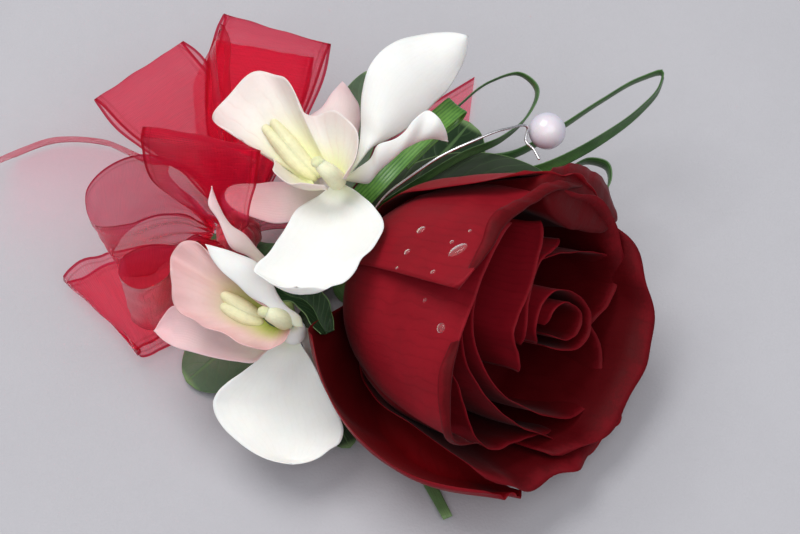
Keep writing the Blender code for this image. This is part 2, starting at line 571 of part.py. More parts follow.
def build_calyx(collection):
    hip = rose_point(0.0, 0.0, -5.9)
    pieces = [ball("hip", hip, (4.6, 4.6, 4.6), collection, rings=6)]
    for k, turn in enumerate((45, 115, 185, 255)):
        angle = math.radians(turn)
        route = [rose_point(angle, r, h) for r, h in ((2.0, -4.0), (7.0, -2.0), (11.5, 0.2), (15.0, 2.6))]
        side = rose_point(angle + math.pi / 2, 1.0, 0.0) - rose_point(0.0, 0.0, 0.0)
        blade = Blade(route, [side], [1.6, 2.6, 2.0, 0.7])
        pieces.append(sheet(f"sepal {k}", blade.point, 2, 5, LEAF_SHEET, collection))
    long_sepal = Blade(
        [hip, (-9.0, -5.0, 3.6), (-6.0, -14.0, 0.9), (-1.4, -25.0, 0.45), (4.0, -38.0, 0.45), (10.4, -51.4, 0.8)],
        [(0.9, 0.4, 0.0)], [1.8, 2.4, 2.2, 2.0, 1.6])
    pieces.append(sheet("long sepal", long_sepal.point, 2, 8, LEAF_SHEET, collection))
    return fuse("rose_calyx", pieces, collection)


def build_stems(collection):
    handle = tube("handle", HANDLE_ROUTE, [HANDLE * 0.94, HANDLE, HANDLE, HANDLE * 0.94], collection, 10)
    upper = tube("upper pedicel", [(-21.0, 7.0, 6.0), (-20.0, 9.4, 15.0), (-17.2, 11.0, 27.0),
                 UPPER_HUB - unit((0.9, 0.1, 3.0)) * (HUB_RADIUS + 0.9)], [2.4, 2.0, 1.8, 1.6], collection, 8)
    lower = tube("lower pedicel", [(-26.0, 7.6, 6.0), (-26.0, -1.0, 10.0), (-24.5, -10.5, 16.0),
                 LOWER_HUB - unit((0.2, -2.0, 2.6)) * (HUB_RADIUS + 1.0)], [2.4, 2.0, 1.8, 1.6], collection, 8)
    return fuse("taped_stems", [handle, upper, lower], collection)


def build_orchid(name, hub, tepals, lip, column, collection):
    pieces = [ball("hub", hub, (HUB_RADIUS,) * 3, collection, rings=4)]
    for k, tepal in enumerate(tepals):
        pieces.append(sheet(f"tepal {k}", tepal.point, 4, 6, ORCHID_SHEET, collection))
    bloom = fuse(name, pieces, collection)
    lip_pieces = [tube("column", column, [1.9, 2.3, 2.2, 1.4], collection, 6),
                  sheet("lip", lip.point, 22, 4, ORCHID_SHEET, collection)]
    throat = fuse(name + "_lip", lip_pieces, collection)
    return bloom, throat


def build_bow(collection):
    pieces = [ball("knot", KNOT, (KNOT_RADIUS,) * 3, collection, rings=6)]
    for label, strip in BOW_STRIPS.items():
        along = 10 if "tail" in label else 14
        pieces.append(sheet(label, strip.point, 2, along, RIBBON_SHEET, collection))
    bow = fuse("ribbon_bow", pieces, collection)
    loops = [sheet(name, strip.point, 2, 22, RIBBON_SHEET, collection) for name, strip in LOOPS.items()]
    return [bow, *loops]


def dress(objects, material):
    for obj in objects:
        obj.data.materials.clear()
        obj.data.materials.append(material)


def recentre(objects):
    """Moves the meshes so that the middle of their underside is the origin; returns the move in mm."""
    points = np.array([tuple(v.co) for obj in objects for v in obj.data.vertices])
    low, high = points.min(axis=0), points.max(axis=0)
    move = np.array([-(low[0] + high[0]) / 2.0, -(low[1] + high[1]) / 2.0, -low[2]])
    for obj in objects:
        for vert in obj.data.vertices:
            vert.co = np.array(vert.co) + move
    return move / MM


def remove_everything():
    for obj in list(bpy.data.objects):
        bpy.data.objects.remove(obj)
    for home in list(bpy.data.collections):
        bpy.data.collections.remove(home)


def main():
    remove_everything()
    corsage = bpy.data.collections.new("corsage")
    bpy.context.scene.collection.children.link(corsage)
    dress([build_rose(corsage)], new_material("crimson petals", (0.20, 0.004, 0.010), 0.5))
    green = new_material("leaf green", (0.03, 0.08, 0.02), 0.45)
    dress([build_calyx(corsage)], green)
    dress([build_stems(corsage)], new_material("stem tape", (0.05, 0.12, 0.03), 0.7))
    dress([sheet(name, leaf.point, 4, 9, LEAF_SHEET, corsage) for name, leaf in LEAVES.items()], green)
    dress([sheet(name, blade.point, 1, 26, GRASS_SHEET, corsage) for name, blade in GRASSES.items()],
          new_material("grass green", (0.05, 0.18, 0.03), 0.4))
    white = new_material("white petals", (0.82, 0.80, 0.76), 0.5)
    blush = new_material("blush lip", (0.80, 0.62, 0.55), 0.5)
    for name, hub, tepals, lip, column in (
            ("orchid_upper", UPPER_HUB, UPPER_TEPALS, UPPER_LIP, UPPER_COLUMN),
            ("orchid_lower", LOWER_HUB, LOWER_TEPALS, LOWER_LIP, LOWER_COLUMN)):
        bloom, throat = build_orchid(name, hub, tepals, lip, column, corsage)
        dress([bloom], white)
        dress([throat], blush)
    dress(build_bow(corsage), new_material("red organza", (0.58, 0.012, 0.035), 0.6))
    dress([tube("pearl_wire", WIRE_ROUTE, [WIRE_RADIUS] * 2, corsage, 22)],
          new_material("silver wire", (0.75, 0.75, 0.76), 0.25, 1.0))
    dress([ball("pearl", PEARL, (PEARL_RADIUS,) * 3, corsage)],
          new_material("pearl", (0.85, 0.80, 0.80), 0.2))
    return recentre(list(corsage.objects))


SHIFT = main()
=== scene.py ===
"""The looks of a rose and orchid corsage with an organza bow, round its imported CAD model.

Sizes are in millimetres, in the layout that the CAD model was drawn in. Each class holds one part of
the corsage, draws its meshes and dresses them. Every point keeps where it lies on its petal, leaf or
ribbon in two attributes: place (across from -1 to 1, along from 0 to 1, face -1 or 1) and span (the
same two in millimetres).
"""

import logging
import math
from dataclasses import dataclass, replace
from enum import Enum
from typing import Protocol, Sequence

import bpy
import numpy as np
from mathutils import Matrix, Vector
from mathutils.bvhtree import BVHTree

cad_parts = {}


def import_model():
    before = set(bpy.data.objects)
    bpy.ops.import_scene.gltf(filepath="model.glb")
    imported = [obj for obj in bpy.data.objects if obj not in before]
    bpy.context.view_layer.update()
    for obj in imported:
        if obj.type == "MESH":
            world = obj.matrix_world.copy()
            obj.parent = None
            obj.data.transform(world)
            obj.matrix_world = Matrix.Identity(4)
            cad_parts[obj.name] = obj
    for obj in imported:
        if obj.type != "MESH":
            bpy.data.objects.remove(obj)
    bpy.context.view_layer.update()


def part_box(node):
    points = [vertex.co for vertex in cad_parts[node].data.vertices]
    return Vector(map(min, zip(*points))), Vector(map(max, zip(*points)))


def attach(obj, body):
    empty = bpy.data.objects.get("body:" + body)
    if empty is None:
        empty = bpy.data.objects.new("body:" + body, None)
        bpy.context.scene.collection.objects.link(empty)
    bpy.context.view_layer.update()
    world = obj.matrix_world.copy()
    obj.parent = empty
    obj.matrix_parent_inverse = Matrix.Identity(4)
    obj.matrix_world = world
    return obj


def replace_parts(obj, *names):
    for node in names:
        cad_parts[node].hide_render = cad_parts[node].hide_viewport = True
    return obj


MM = 0.001
BODY = "root"
LOG = logging.getLogger("corsage")

Array = np.ndarray
Colour = tuple[float, float, float]
Point = tuple[float, float, float]

ROSE_BASE = np.array([-6.3, -0.5, 10.5])
ROSE_AXIS = np.array([0.730, -0.439, 0.524])
ROSE_FRONT = np.array([-0.657, -0.236, 0.716])
ROSE_UP = np.cross(ROSE_FRONT, ROSE_AXIS)
TABLE_CLEARANCE = 1.75          # how far a petal that meets the table stays above it
GIVE = 0.03                     # the share of a push against the table that a petal still follows
CREST = 0.84                    # how far up a petal its rim lies where an edge is turned over past it
FULL_WIDTH = 8.0                # where a traced petal bulges fully
STATIONS = (0.0, 0.06, 0.16, 0.32, 0.62, 1.0)   # from a rose petal's foot to its top
SIDE_ROLL = 0.35                # how much less of its roll a rose petal has at its sides
WALL = 1.1                      # a rose petal's length along its curve, for its height
SHOULDER = 0.3                  # how far up a rose petal starts to round off
DROOP = 0.06                    # how far its sides hang below its middle, for its height
POINT = 0.13                    # how wide the point at the middle of its rim is
LIP_START = 0.86                # how far up a petal's rim starts to roll out

HANDLE = 4.5                    # the taped stems' radius
HANDLE_ROUTE = [(-14.6, 4.9, 6.0), (-20.5, 7.2, 4.9), (-32.0, 9.8, 4.6), (-45.0, 13.5, 4.6)]
SEPAL_ROUTE = [(-9.0, -5.0, 3.6), (-6.0, -14.0, 0.9), (-1.4, -25.0, 0.45), (4.0, -38.0, 0.45),
               (10.4, -51.4, 0.8)]
KNOT = np.array([-36.2, 11.0, 15.4])
KNOT_RADIUS = 5.4
UPPER_HUB = (-14.6, 11.2, 38.4)
LOWER_HUB = (-22.8, -18.6, 25.4)
HUB_RADIUS = 2.8
PEARL = (31.5, 19.2, 46.0)
DRIP = np.array([0.0, -0.35, -1.0])   # the way that a drop runs
RIBBON_WIDTH = 25.0
THREAD_PITCH = 0.62             # of the organza's weave, coarse enough to show at this scale


def unit(v: Array) -> Array:
    """The vectors of v, each made one long."""
    v = np.asarray(v, float)
    return v / np.linalg.norm(v, axis=-1, keepdims=True)


def smooth(knots: Array, values: Sequence, t: Array) -> Array:
    """Reads a smooth curve.

    Args:
        knots: where along the curve the values stand, rising from 0 to 1.
        values: a number or a point for each knot.
        t: where to read the curve.

    Returns:
        The curve's value at each t.
    """
    knots, values, t = np.asarray(knots, float), np.asarray(values, float), np.asarray(t, float)
    slopes = np.gradient(values, knots, axis=0)
    i = np.clip(np.searchsorted(knots, t, side="right") - 1, 0, len(knots) - 2)
    step = knots[i + 1] - knots[i]
    s = (t - knots[i]) / step
    if values.ndim > 1:
        s, step = s[..., None], step[..., None]
    return (
        (2 * s**3 - 3 * s**2 + 1) * values[i]
        + (s**3 - 2 * s**2 + s) * step * slopes[i]
        + (3 * s**2 - 2 * s**3) * values[i + 1]
        + (s**3 - s**2) * step * slopes[i + 1]
    )


def even(values: Sequence, t: Array) -> Array:
    """Reads the smooth curve through evenly spaced values; a single value holds everywhere.

    Args:
        values: a number or a point for each knot.
        t: where to read the curve, from 0 to 1.

    Returns:
        The curve's value at each t.
    """
    if len(values) == 1:
        return np.asarray(values[0], float)
    return smooth(np.linspace(0.0, 1.0, len(values)), values, t)


def spaced(route: Sequence) -> Array:
    """The knots from 0 to 1 that space a route's points by their distance."""
    steps = np.linalg.norm(np.diff(np.asarray(route, float), axis=0), axis=1)
    return np.concatenate([[0.0], np.cumsum(steps)]) / steps.sum()


def on_rose(angle: Array, radius: Array, height: Array) -> Array:
    """Points round the rose's axis, pressed in where they would meet the table.

    Args:
        angle: radians from the side that is turned up.
        radius: millimetres from the axis.
        height: millimetres up the axis.

    Returns:
        The points, in layout millimetres.
    """
    given = (np.asarray(x, float) for x in (angle, radius, height))
    angle, radius, height = np.broadcast_arrays(*given)
    out = unit(ROSE_FRONT) * np.cos(angle)[..., None] + unit(ROSE_UP) * np.sin(angle)[..., None]
    room = ROSE_BASE[2] + ROSE_AXIS[2] * height - TABLE_CLEARANCE
    limit = room / np.maximum(-out[..., 2], 0.05)
    pressed = (out[..., 2] < -0.05) & (radius > limit)
    radius = np.where(pressed, limit + GIVE * (radius - limit), radius)
    return ROSE_BASE + unit(ROSE_AXIS) * height[..., None] + out * radius[..., None]


def goblet(belly: float, rim: float, q: Array) -> Array:
    """The radius of a rose petal that is belly wide at its middle and rim wide at its top, at q."""
    return smooth(STATIONS, [4.0, 10.0, 0.66 * belly, 0.86 * belly, belly, rim], q)


def knot_seat(x: float, y: float, z: float) -> Array:
    """A point just off the knot, in a direction from its middle."""
    return KNOT + unit((x, y, z)) * (KNOT_RADIUS + 0.7)


def handle_seat(along: float, degrees: float) -> Array:
    """A point just off the taped stems.

    Args:
        along: how far along the stems, from 0 to 1.
        degrees: the turn round them, from the top towards the viewer.

    Returns:
        The point, in layout millimetres.
    """
    route = np.array(HANDLE_ROUTE)
    knots = np.linspace(0.0, 1.0, len(route))
    ahead = unit(smooth(knots, route, along + 0.01) - smooth(knots, route, max(along - 0.01, 0.0)))
    top = unit(np.array([0.0, 0.0, 1.0]) - ahead * ahead[2])
    turn = math.radians(degrees)
    out = top * math.cos(turn) + np.cross(top, ahead) * math.sin(turn)
    return smooth(knots, route, along) + out * (HANDLE + 0.6)


class Surface(Protocol):
    """Anything that can be drawn as a grid of points."""

    def grid(self, u: Array, v: Array) -> Array:
        """The points at u from -1 to 1 across and v from 0 to 1 along."""


@dataclass
class Strip:
    """A leaf, petal, grass blade or ribbon along a spine.

    spine runs along its middle, sides point across it, and halves are its half widths. cup bends it
    across, pleat gathers it where it is narrow and crinkle dents it all over. slant cuts its end
    aslant, and tip is where its end starts to round off.
    """

    spine: Sequence
    sides: Sequence
    halves: Sequence[float]
    cup: float = 0.0
    slant: float = 0.0
    tip: float = 1.0
    pleat: float = 0.0
    crinkle: float = 0.0
    seed: float = 0.0

    def length(self) -> float:
        """The strip's length along its middle."""
        steps = np.diff(smooth(spaced(self.spine), self.spine, np.linspace(0, 1, 200)), axis=0)
        return float(np.linalg.norm(steps, axis=1).sum())

    def grid(self, u: Array, v: Array) -> Array:
        """Draws the strip.

        Args:
            u: how far across, from -1 to 1.
            v: how far along, from 0 to 1.

        Returns:
            The points, in layout millimetres.
        """
        t = v * (1.0 - self.slant * (1.0 - u) / 2.0)
        knots = spaced(self.spine)
        centre = smooth(knots, self.spine, t)
        ahead = smooth(knots, self.spine, np.minimum(t + 0.008, 1.0))
        along = unit(ahead - smooth(knots, self.spine, np.maximum(t - 0.008, 0.0)))
        matched = len(self.sides) == len(self.spine)
        side = smooth(knots, self.sides, t) if matched else even(self.sides, t)
        side = unit(side - along * (side * along).sum(-1, keepdims=True))
        normal = np.cross(side, along)
        half = even(self.halves, t)
        if self.tip < 1.0:
            end = np.clip((t - self.tip) / (1.0 - self.tip), 0.0, 1.0)
            half = half * np.maximum(1.0 - end**2.4, 0.0004) ** 0.5
        across, rise = u * half, np.zeros_like(t)
        if self.cup:
            across = np.sin(u * self.cup) / self.cup * half
            rise = (1.0 - np.cos(u * self.cup)) / self.cup * half
        gathered = np.clip(1.0 - half / (RIBBON_WIDTH / 2), 0.0, 1.0)
        folds = np.sin(4.5 * math.pi * u + 1.3 * np.sin(3.0 * t + self.seed))
        rise = rise + self.pleat * gathered * folds
        rise = rise + self.crinkle * (
            np.sin(5.1 * u + 17.0 * t + self.seed) * np.sin(2.3 * u - 9.0 * t + 2.0 * self.seed)
            + 0.5 * np.sin(9.7 * u - 31.0 * t + 3.0 * self.seed)
        )
        return centre + side * across[..., None] + normal * rise[..., None]


@dataclass
class RosePetal:
    """A petal wrapped round the rose's axis.

    turn and span are degrees round the axis. The petal rises to height, is belly wide at its middle
    and rim wide at its top, and rolls out there by roll degrees. spiral winds it in from one side to
    the other, outline rounds its top and narrow is the share of its span that is left there. ripple
    waves its rim, and peak draws the rim to a point.
    """

    turn: float
    span: float
    height: float
    belly: float
    rim: float
    roll: float = 0.0
    roll_radius: float = 3.0
    spiral: float = 0.0
    outline: float = 3.0
    narrow: float = 0.45
    ripple: float = 0.5
    peak: float = 0.6

    def grid(self, u: Array, v: Array) -> Array:
        """Draws the petal.

        Args:
            u: how far across, from -1 to 1.
            v: how far along, from 0 to 1.

        Returns:
            The points, in layout millimetres.
        """
        roll = math.radians(self.roll) * (1.0 - SIDE_ROLL * u * u)
        wall = self.height * WALL
        share = wall / (wall + self.roll_radius * roll)
        q = np.minimum(v / share, 1.0)
        radius = goblet(self.belly, self.rim, q)
        height = self.height * q
        if self.roll:
            start = np.arctan((radius - goblet(self.belly, self.rim, 0.97)) / (0.03 * self.height))
            angle = start + roll * (v - share) / (1.0 - share)
            past = v > share
            radius = radius + np.where(past, self.roll_radius * (np.cos(start) - np.cos(angle)), 0.0)
            height = height + np.where(past, self.roll_radius * (np.sin(angle) - np.sin(start)), 0.0)
        above = np.maximum(v - SHOULDER, 0.0) / (1.0 - SHOULDER)
        rounded = np.maximum(1.0 - above**self.outline, 0.0) ** (1.0 / self.outline)
        width = self.narrow + (1.0 - self.narrow) * rounded
        radius = radius + self.spiral * u * v
        phase = math.radians(self.turn)
        wave = np.sin(7.3 * u + phase) + 0.6 * np.sin(13.1 * u + 2.0 * phase)
        wave = wave + 0.4 * np.sin(4.1 * u * v + phase)
        radius = radius + self.ripple * wave * v**4
        radius = radius + 0.25 * np.sin(9.0 * u + 3.0 * phase) * np.sin(5.0 * v + phase) * v
        height = height - DROOP * self.height * u**4 * v
        point = np.exp(-(u / POINT) ** 2) + 0.4 * np.sin(6.0 * u + 2.0 * phase)
        height = height + self.peak * v**6 * point
        return on_rose(np.radians(self.turn + 0.5 * self.span * width * u), radius, height)


@dataclass
class Traced:
    """A petal or leaf between two edges, each from its root to its tip.

    bulge raises its middle, fold creases it along its middle, and ruffle waves its rim.
    """

    left: Sequence
    right: Sequence
    bulge: float = 1.5
    ruffle: float = 0.3
    fold: float = 0.0
    seed: float = 0.0

    def grid(self, u: Array, v: Array) -> Array:
        """Draws the petal or leaf.

        Args:
            u: how far across, from -1 to 1.
            v: how far along, from 0 to 1.

        Returns:
            The points, in layout millimetres.
        """
        left = smooth(spaced(self.left), self.left, v)
        right = smooth(spaced(self.right), self.right, v)
        root, tip = np.asarray(self.left[0], float), np.asarray(self.left[-1], float)
        middles = (np.asarray(edge[len(edge) // 2], float) for edge in (self.right, self.left))
        normal = unit(np.cross(np.subtract(*middles), tip - root))
        full = np.minimum(np.linalg.norm(right - left, axis=-1) / FULL_WIDTH, 1.0)
        rise = self.bulge * (1.0 - u * u) * full - self.fold * np.exp(-(u / 0.22) ** 2) * full
        edge = np.maximum(np.abs(u), v) ** 4
        wave = np.sin(16.0 * v + self.seed + 1.5 * u) + 0.6 * np.sin(27.2 * v - u + self.seed)
        rise = rise + self.ruffle * edge * wave * np.clip(4.0 * v, 0.0, 1.0)
        return left + (right - left) * ((u + 1.0) / 2.0)[..., None] + normal * rise[..., None]


@dataclass
class RimPetal:
    """A petal of the rose, drawn from its rim down to the rose's axis.

    rim holds points along its crest, and turned those of an edge that is turned over outwards. belly is
    its radius lower down, narrow the share of its width that is left at its foot, lean how far its rim
    rolls out and ripple how far its rim waves. apart sets its foot under its own middle.
    """

    rim: Sequence
    turned: Sequence = ()
    belly: float = 0.0
    lean: float = 0.7
    ripple: float = 0.2
    narrow: float = 1.0
    apart: bool = False
    seed: float = 0.0

    def grid(self, u: Array, v: Array) -> Array:
        """Draws the petal.

        Args:
            u: how far across, from -1 to 1.
            v: how far along, from 0 to 1.

        Returns:
            The points, in layout millimetres.
        """
        width = self.narrow + (1.0 - self.narrow) * np.minimum(v / CREST, 1.0) ** 0.7
        t = 0.5 + 0.5 * u * width
        axis = unit(ROSE_AXIS)
        rim = smooth(spaced(self.rim), self.rim, t)
        core = ROSE_BASE
        if self.apart:
            middle = np.mean(np.asarray(self.rim, float), axis=0)
            core = middle - axis * float((middle - ROSE_BASE) @ axis)
        reach = (rim - core) @ axis
        out = rim - core - axis * reach[..., None]
        radius = np.linalg.norm(out, axis=-1)
        out = out / np.maximum(radius, 1e-6)[..., None]
        crest = CREST if self.turned else 1.0
        q = np.minimum(v / crest, 1.0)
        if self.belly:
            own = smooth(STATIONS, [0.0, 0.0, 0.0, 0.0, 0.35, 1.0], q)
            wall = goblet(self.belly, self.belly, q) + (radius - self.belly) * own
        else:
            wall = radius * smooth(STATIONS, [0.15, 0.42, 0.66, 0.84, 0.97, 1.0], q)
        bend = np.clip((q - LIP_START) / (1.0 - LIP_START), 0.0, 1.0)
        wave = np.sin(9.0 * u + self.seed) + 0.6 * np.sin(17.0 * u + 2.0 * self.seed)
        wave = wave + 0.4 * np.sin(29.0 * u)
        wall = wall + self.lean * (bend**2 - 0.4 * bend) + self.ripple * wave * q**5
        rise = reach * q - 0.05 * reach * np.abs(u) ** 7 * q + 0.25 * self.ripple * wave * q**6
        points = core + axis * rise[..., None] + out * wall[..., None]
        if self.turned:
            edge = smooth(spaced(self.turned), self.turned, t) + out * (self.ripple * wave)[..., None]
            s = np.clip((v - crest) / (1.0 - crest), 0.0, 1.0)[..., None]
            over = (points + edge) / 2.0 + axis * 1.3
            points = points * (1.0 - s) ** 2 + over * 2.0 * s * (1.0 - s) + edge * s**2
        above = points[..., 2] - TABLE_CLEARANCE
        points[..., 2] = np.where(above < 0.0, TABLE_CLEARANCE + GIVE * above, points[..., 2])
        return points


@dataclass
class Scoop:
    """The lip of an orchid, from its throat, round the column, out to its wavy rim.

    throat and rim hold points from one end to the other, and sags how far the lip hangs between.
    """

    throat: Sequence
    rim: Sequence
    sags: Sequence[float]

    def grid(self, u: Array, v: Array) -> Array:
        """Draws the lip.

        Args:
            u: how far across, from -1 to 1.
            v: how far along, from 0 to 1.

        Returns:
            The points, in layout millimetres.
        """
        t = (u + 1.0) / 2.0
        v3 = v[..., None]
        inner, outer = even(self.throat, t), even(self.rim, t)
        middle = (inner + outer) / 2.0
        middle[..., 2] -= even(self.sags, t)
        points = inner * (1.0 - v3) ** 2 + middle * 2.0 * v3 * (1.0 - v3) + outer * v3**2
        waves = 40.0 * t
        points[..., 2] += 0.5 * v**3 * (np.sin(waves) + 0.7 * np.sin(1.7 * waves + 1.0))
        return points + unit(outer - inner) * (0.35 * v**4 * np.sin(1.3 * waves + 2.0))[..., None]


class Cut(Enum):
    """How many faces a surface gets, across and along, and its thickness in millimetres."""

    ROSE = (48, 48, 0.45)
    ORCHID = (36, 52, 0.55)
    LIP = (150, 34, 0.5)
    SEPAL = (8, 18, 0.6)
    LONG_SEPAL = (8, 60, 0.6)
    LEAF = (28, 56, 0.5)
    GRASS = (10, 150, 0.45)
    RIBBON = (30, 130, 0.0)


class Skin:
    """The points and faces gathered for one piece."""

    def __init__(self) -> None:
        """Starts with nothing."""
        self.points: list[Array] = []
        self.places: list[Array] = []
        self.spans: list[Array] = []
        self.faces: list[tuple[int, ...]] = []
        self.slots: list[int] = []
        self.count = 0

    def add(self, points: Array, places: Array, spans: Array, faces: list, slot: int) -> None:
        """Adds points and the faces between them.

        Args:
            points: the points, in layout millimetres.
            places: each point's place attribute.
            spans: each point's span attribute.
            faces: the faces, as indices into points.
            slot: the material slot of the faces.
        """
        self.points.append(points)
        self.places.append(places)
        self.spans.append(spans)
        self.faces += [tuple(i + self.count for i in face) for face in faces]
        self.slots += [slot] * len(faces)
        self.count += len(points)

    @staticmethod
    def _grid(surface: Surface, columns: int, rows: int) -> tuple[Array, Array, Array, Array]:
        """Works out the points, normals, places and spans of a surface.

        Args:
            surface: what to draw.
            columns: faces across.
            rows: faces along.

        Returns:
            The four, each with rows + 1 by columns + 1 entries.
        """
        v, u = np.meshgrid(np.linspace(0, 1, rows + 1), np.linspace(-1, 1, columns + 1), indexing="ij")
        points = surface.grid(u, v)
        du, dv = np.gradient(points, axis=1), np.gradient(points, axis=0)
        normals = np.cross(du, dv)
        normals /= np.maximum(np.linalg.norm(normals, axis=-1, keepdims=True), 1e-9)
        wide, long = np.linalg.norm(du, axis=-1), np.linalg.norm(dv, axis=-1)
        across, half = np.cumsum(wide, axis=1), columns // 2
        across -= across[:, half][:, None]
        along = np.cumsum(long, axis=0)[:, half][:, None] + 0.0 * u
        return points, normals, np.stack([u, v, 0.0 * u], -1), np.stack([across, along, 0.0 * u], -1)

    @staticmethod
    def _cells(columns: int, rows: int) -> list[tuple[int, int, int, int]]:
        """Finds the cells of a grid, as indices into its points.

        Args:
            columns: faces across.
            rows: faces along.

        Returns:
            The corners of each cell, going round it.
        """
        wide = columns + 1
        corners = [r * wide + c for r in range(rows) for c in range(columns)]
        return [(a, a + 1, a + wide + 1, a + wide) for a in corners]

    def veil(self, surface: Surface, cut: Cut) -> "Skin":
        """Adds a surface as a single open layer, in slot 0.

        Args:
            surface: what to draw.
            cut: its faces.

        Returns:
            This skin.
        """
        columns, rows, _ = cut.value
        points, _, places, spans = (grid.reshape(-1, 3) for grid in self._grid(surface, columns, rows))
        self.add(points, places, spans, self._cells(columns, rows), 0)
        return self

    def blade(self, surface: Surface, cut: Cut, slot: int = 0) -> "Skin":
        """Adds a surface as a closed blade that thins to its edges.

        Args:
            surface: what to draw.
            cut: its faces and its thickness.
            slot: its material slot.

        Returns:
            This skin.
        """
        columns, rows, thickness = cut.value
        points, normals, places, spans = self._grid(surface, columns, rows)
        edge = np.maximum(np.abs(places[..., 0]), np.clip(places[..., 1] * 2 - 1, 0, 1))
        lift = normals * (thickness / 2 * (1.0 - 0.7 * edge**5))[..., None]
        wide, layer = columns + 1, (rows + 1) * (columns + 1)
        both, sides = [], []
        for face in (1.0, -1.0):
            marked = places.copy()
            marked[..., 2] = face
            both.append((points + lift * face).reshape(-1, 3))
            sides.append(marked.reshape(-1, 3))
        faces = []
        for a, b, c, d in self._cells(columns, rows):
            faces += [(a, b, c, d), (a + layer, d + layer, c + layer, b + layer)]
        loop = [*range(columns)] + [r * wide + columns for r in range(rows)]
        loop += [rows * wide + c for c in range(columns, 0, -1)] + [r * wide for r in range(rows, 0, -1)]
        for a, b in zip(loop, loop[1:] + loop[:1]):
            faces.append((b, a, a + layer, b + layer))
        flat = spans.reshape(-1, 3)
        self.add(np.concatenate(both), np.concatenate(sides), np.concatenate([flat, flat]), faces, slot)
        return self

    def tube(
        self, route: Sequence, radii: Sequence[float], sides: int, rows: int, slot: int = 0,
        ridge: float = 0.0,
    ) -> "Skin":
        """Adds a round stem or wire with domed ends.

        Args:
            route: points along its middle.
            radii: its radii, evenly spaced from end to end.
            sides: faces round it.
            rows: faces along it.
            slot: its material slot.
            ridge: how far wound tape stands out, in millimetres.

        Returns:
            This skin.
        """
        knots = spaced(route)
        t = 0.5 - 0.5 * np.cos(np.pi * np.linspace(0, 1, rows + 1))
        middle = smooth(knots, route, t)
        length = float(np.linalg.norm(np.diff(middle, axis=0), axis=1).sum())
        ahead = unit(np.gradient(middle, axis=0))
        side = unit(np.cross(ahead[0], (0.3, 0.5, 0.8)))
        frames = []
        for direction in ahead:
            side = unit(side - direction * side.dot(direction))
            frames.append((side, np.cross(direction, side)))
        radius = even(radii, t) * np.ones_like(t)
        near = np.minimum(t, 1.0 - t) * length
        dome = np.clip(near / np.maximum(radius, 1e-6), 0.0, 1.0)
        radius = radius * np.maximum(1.0 - (1.0 - dome) ** 2, 0.0009) ** 0.5
        turn = np.linspace(0, 2 * math.pi, sides, endpoint=False)
        points, places, spans = [], [], []
        for k, (a, b) in enumerate(frames):
            wound = ridge * (np.abs(np.sin(turn / 2 + t[k] * length * 0.55)) ** 3)
            reach = (radius[k] + wound * dome[k])[:, None]
            points.append(middle[k] + (a * np.cos(turn)[:, None] + b * np.sin(turn)[:, None]) * reach)
            places.append(np.stack([turn / math.pi - 1.0, 0 * turn + t[k], 0 * turn + 1.0], -1))
            spans.append(np.stack([turn * radius[k], 0 * turn + t[k] * length, 0 * turn], -1))
        faces = []
        for first in range(0, rows * sides, sides):
            for c in range(sides):
                a, b = first + c, first + (c + 1) % sides
                faces.append((a, b, b + sides, a + sides))
        faces += [tuple(range(sides - 1, -1, -1)), tuple(rows * sides + c for c in range(sides))]
        self.add(np.concatenate(points), np.concatenate(places), np.concatenate(spans), faces, slot)
        return self

    def bead(
        self, centre: Sequence[float], radii: Sequence[float], rings: int, slot: int = 0, dents: float = 0.0
    ) -> "Skin":
        """Adds a ball or egg.

        Args:
            centre: its middle.
            radii: its three half sizes.
            rings: rows of faces from pole to pole.
            slot: its material slot.
            dents: how far its folds go in, as a share of its radius.

        Returns:
            This skin.
        """
        tilt = np.linspace(0.02, math.pi - 0.02, rings + 1)
        turn = np.linspace(0, 2 * math.pi, 2 * rings, endpoint=False)
        a, b = np.meshgrid(tilt, turn, indexing="ij")
        ball = np.stack([np.sin(a) * np.cos(b), np.sin(a) * np.sin(b), np.cos(a)], -1)
        if dents:
            folds = np.sin(5.0 * b + 3.0 * a) + 0.6 * np.sin(11.0 * b - 4.0 * a + 1.0)
            ball = ball * (1.0 - dents * (0.5 + 0.5 * folds / 1.6))[..., None]
        points = (np.array(centre) + ball * np.array(radii)).reshape(-1, 3)
        places = np.stack([b / math.pi - 1.0, a / math.pi, 0 * a + 1.0], -1).reshape(-1, 3)
        size = float(np.mean(radii))
        spans = np.stack([b * size, a * size, 0 * a], -1).reshape(-1, 3)
        wide, faces = 2 * rings, []
        for first in range(0, rings * wide, wide):
            for c in range(wide):
                a, b = first + c, first + (c + 1) % wide
                faces.append((a, a + wide, b + wide, b))
        faces += [tuple(range(wide)), tuple(rings * wide + c for c in range(wide - 1, -1, -1))]
        self.add(points, places, spans, faces, slot)
        return self

    def make(self, name: str, finishes: Sequence["Finish"], shift: Array) -> bpy.types.Object:
        """Turns what was gathered into a piece that rides on the corsage.

        Args:
            name: the piece's name.
            finishes: its materials, in slot order.
            shift: the move from the layout to the part's frame, in millimetres.

        Returns:
            The piece.
        """
        mesh = bpy.data.meshes.new(name)
        points = (np.concatenate(self.points) + shift) * MM
        mesh.from_pydata([tuple(p) for p in points], [], self.faces)
        for label, rows in (("place", self.places), ("span", self.spans)):
            layer = mesh.attributes.new(label, "FLOAT_VECTOR", "POINT")
            layer.data.foreach_set("vector", np.concatenate(rows).astype(np.float32).ravel())
        for finish in finishes:
            mesh.materials.append(finish.material())
        mesh.polygons.foreach_set("material_index", self.slots)
        mesh.polygons.foreach_set("use_smooth", [True] * len(self.faces))
        mesh.update()
        piece = bpy.data.objects.new(name, mesh)
        bpy.context.scene.collection.objects.link(piece)
        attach(piece, BODY)
        return piece


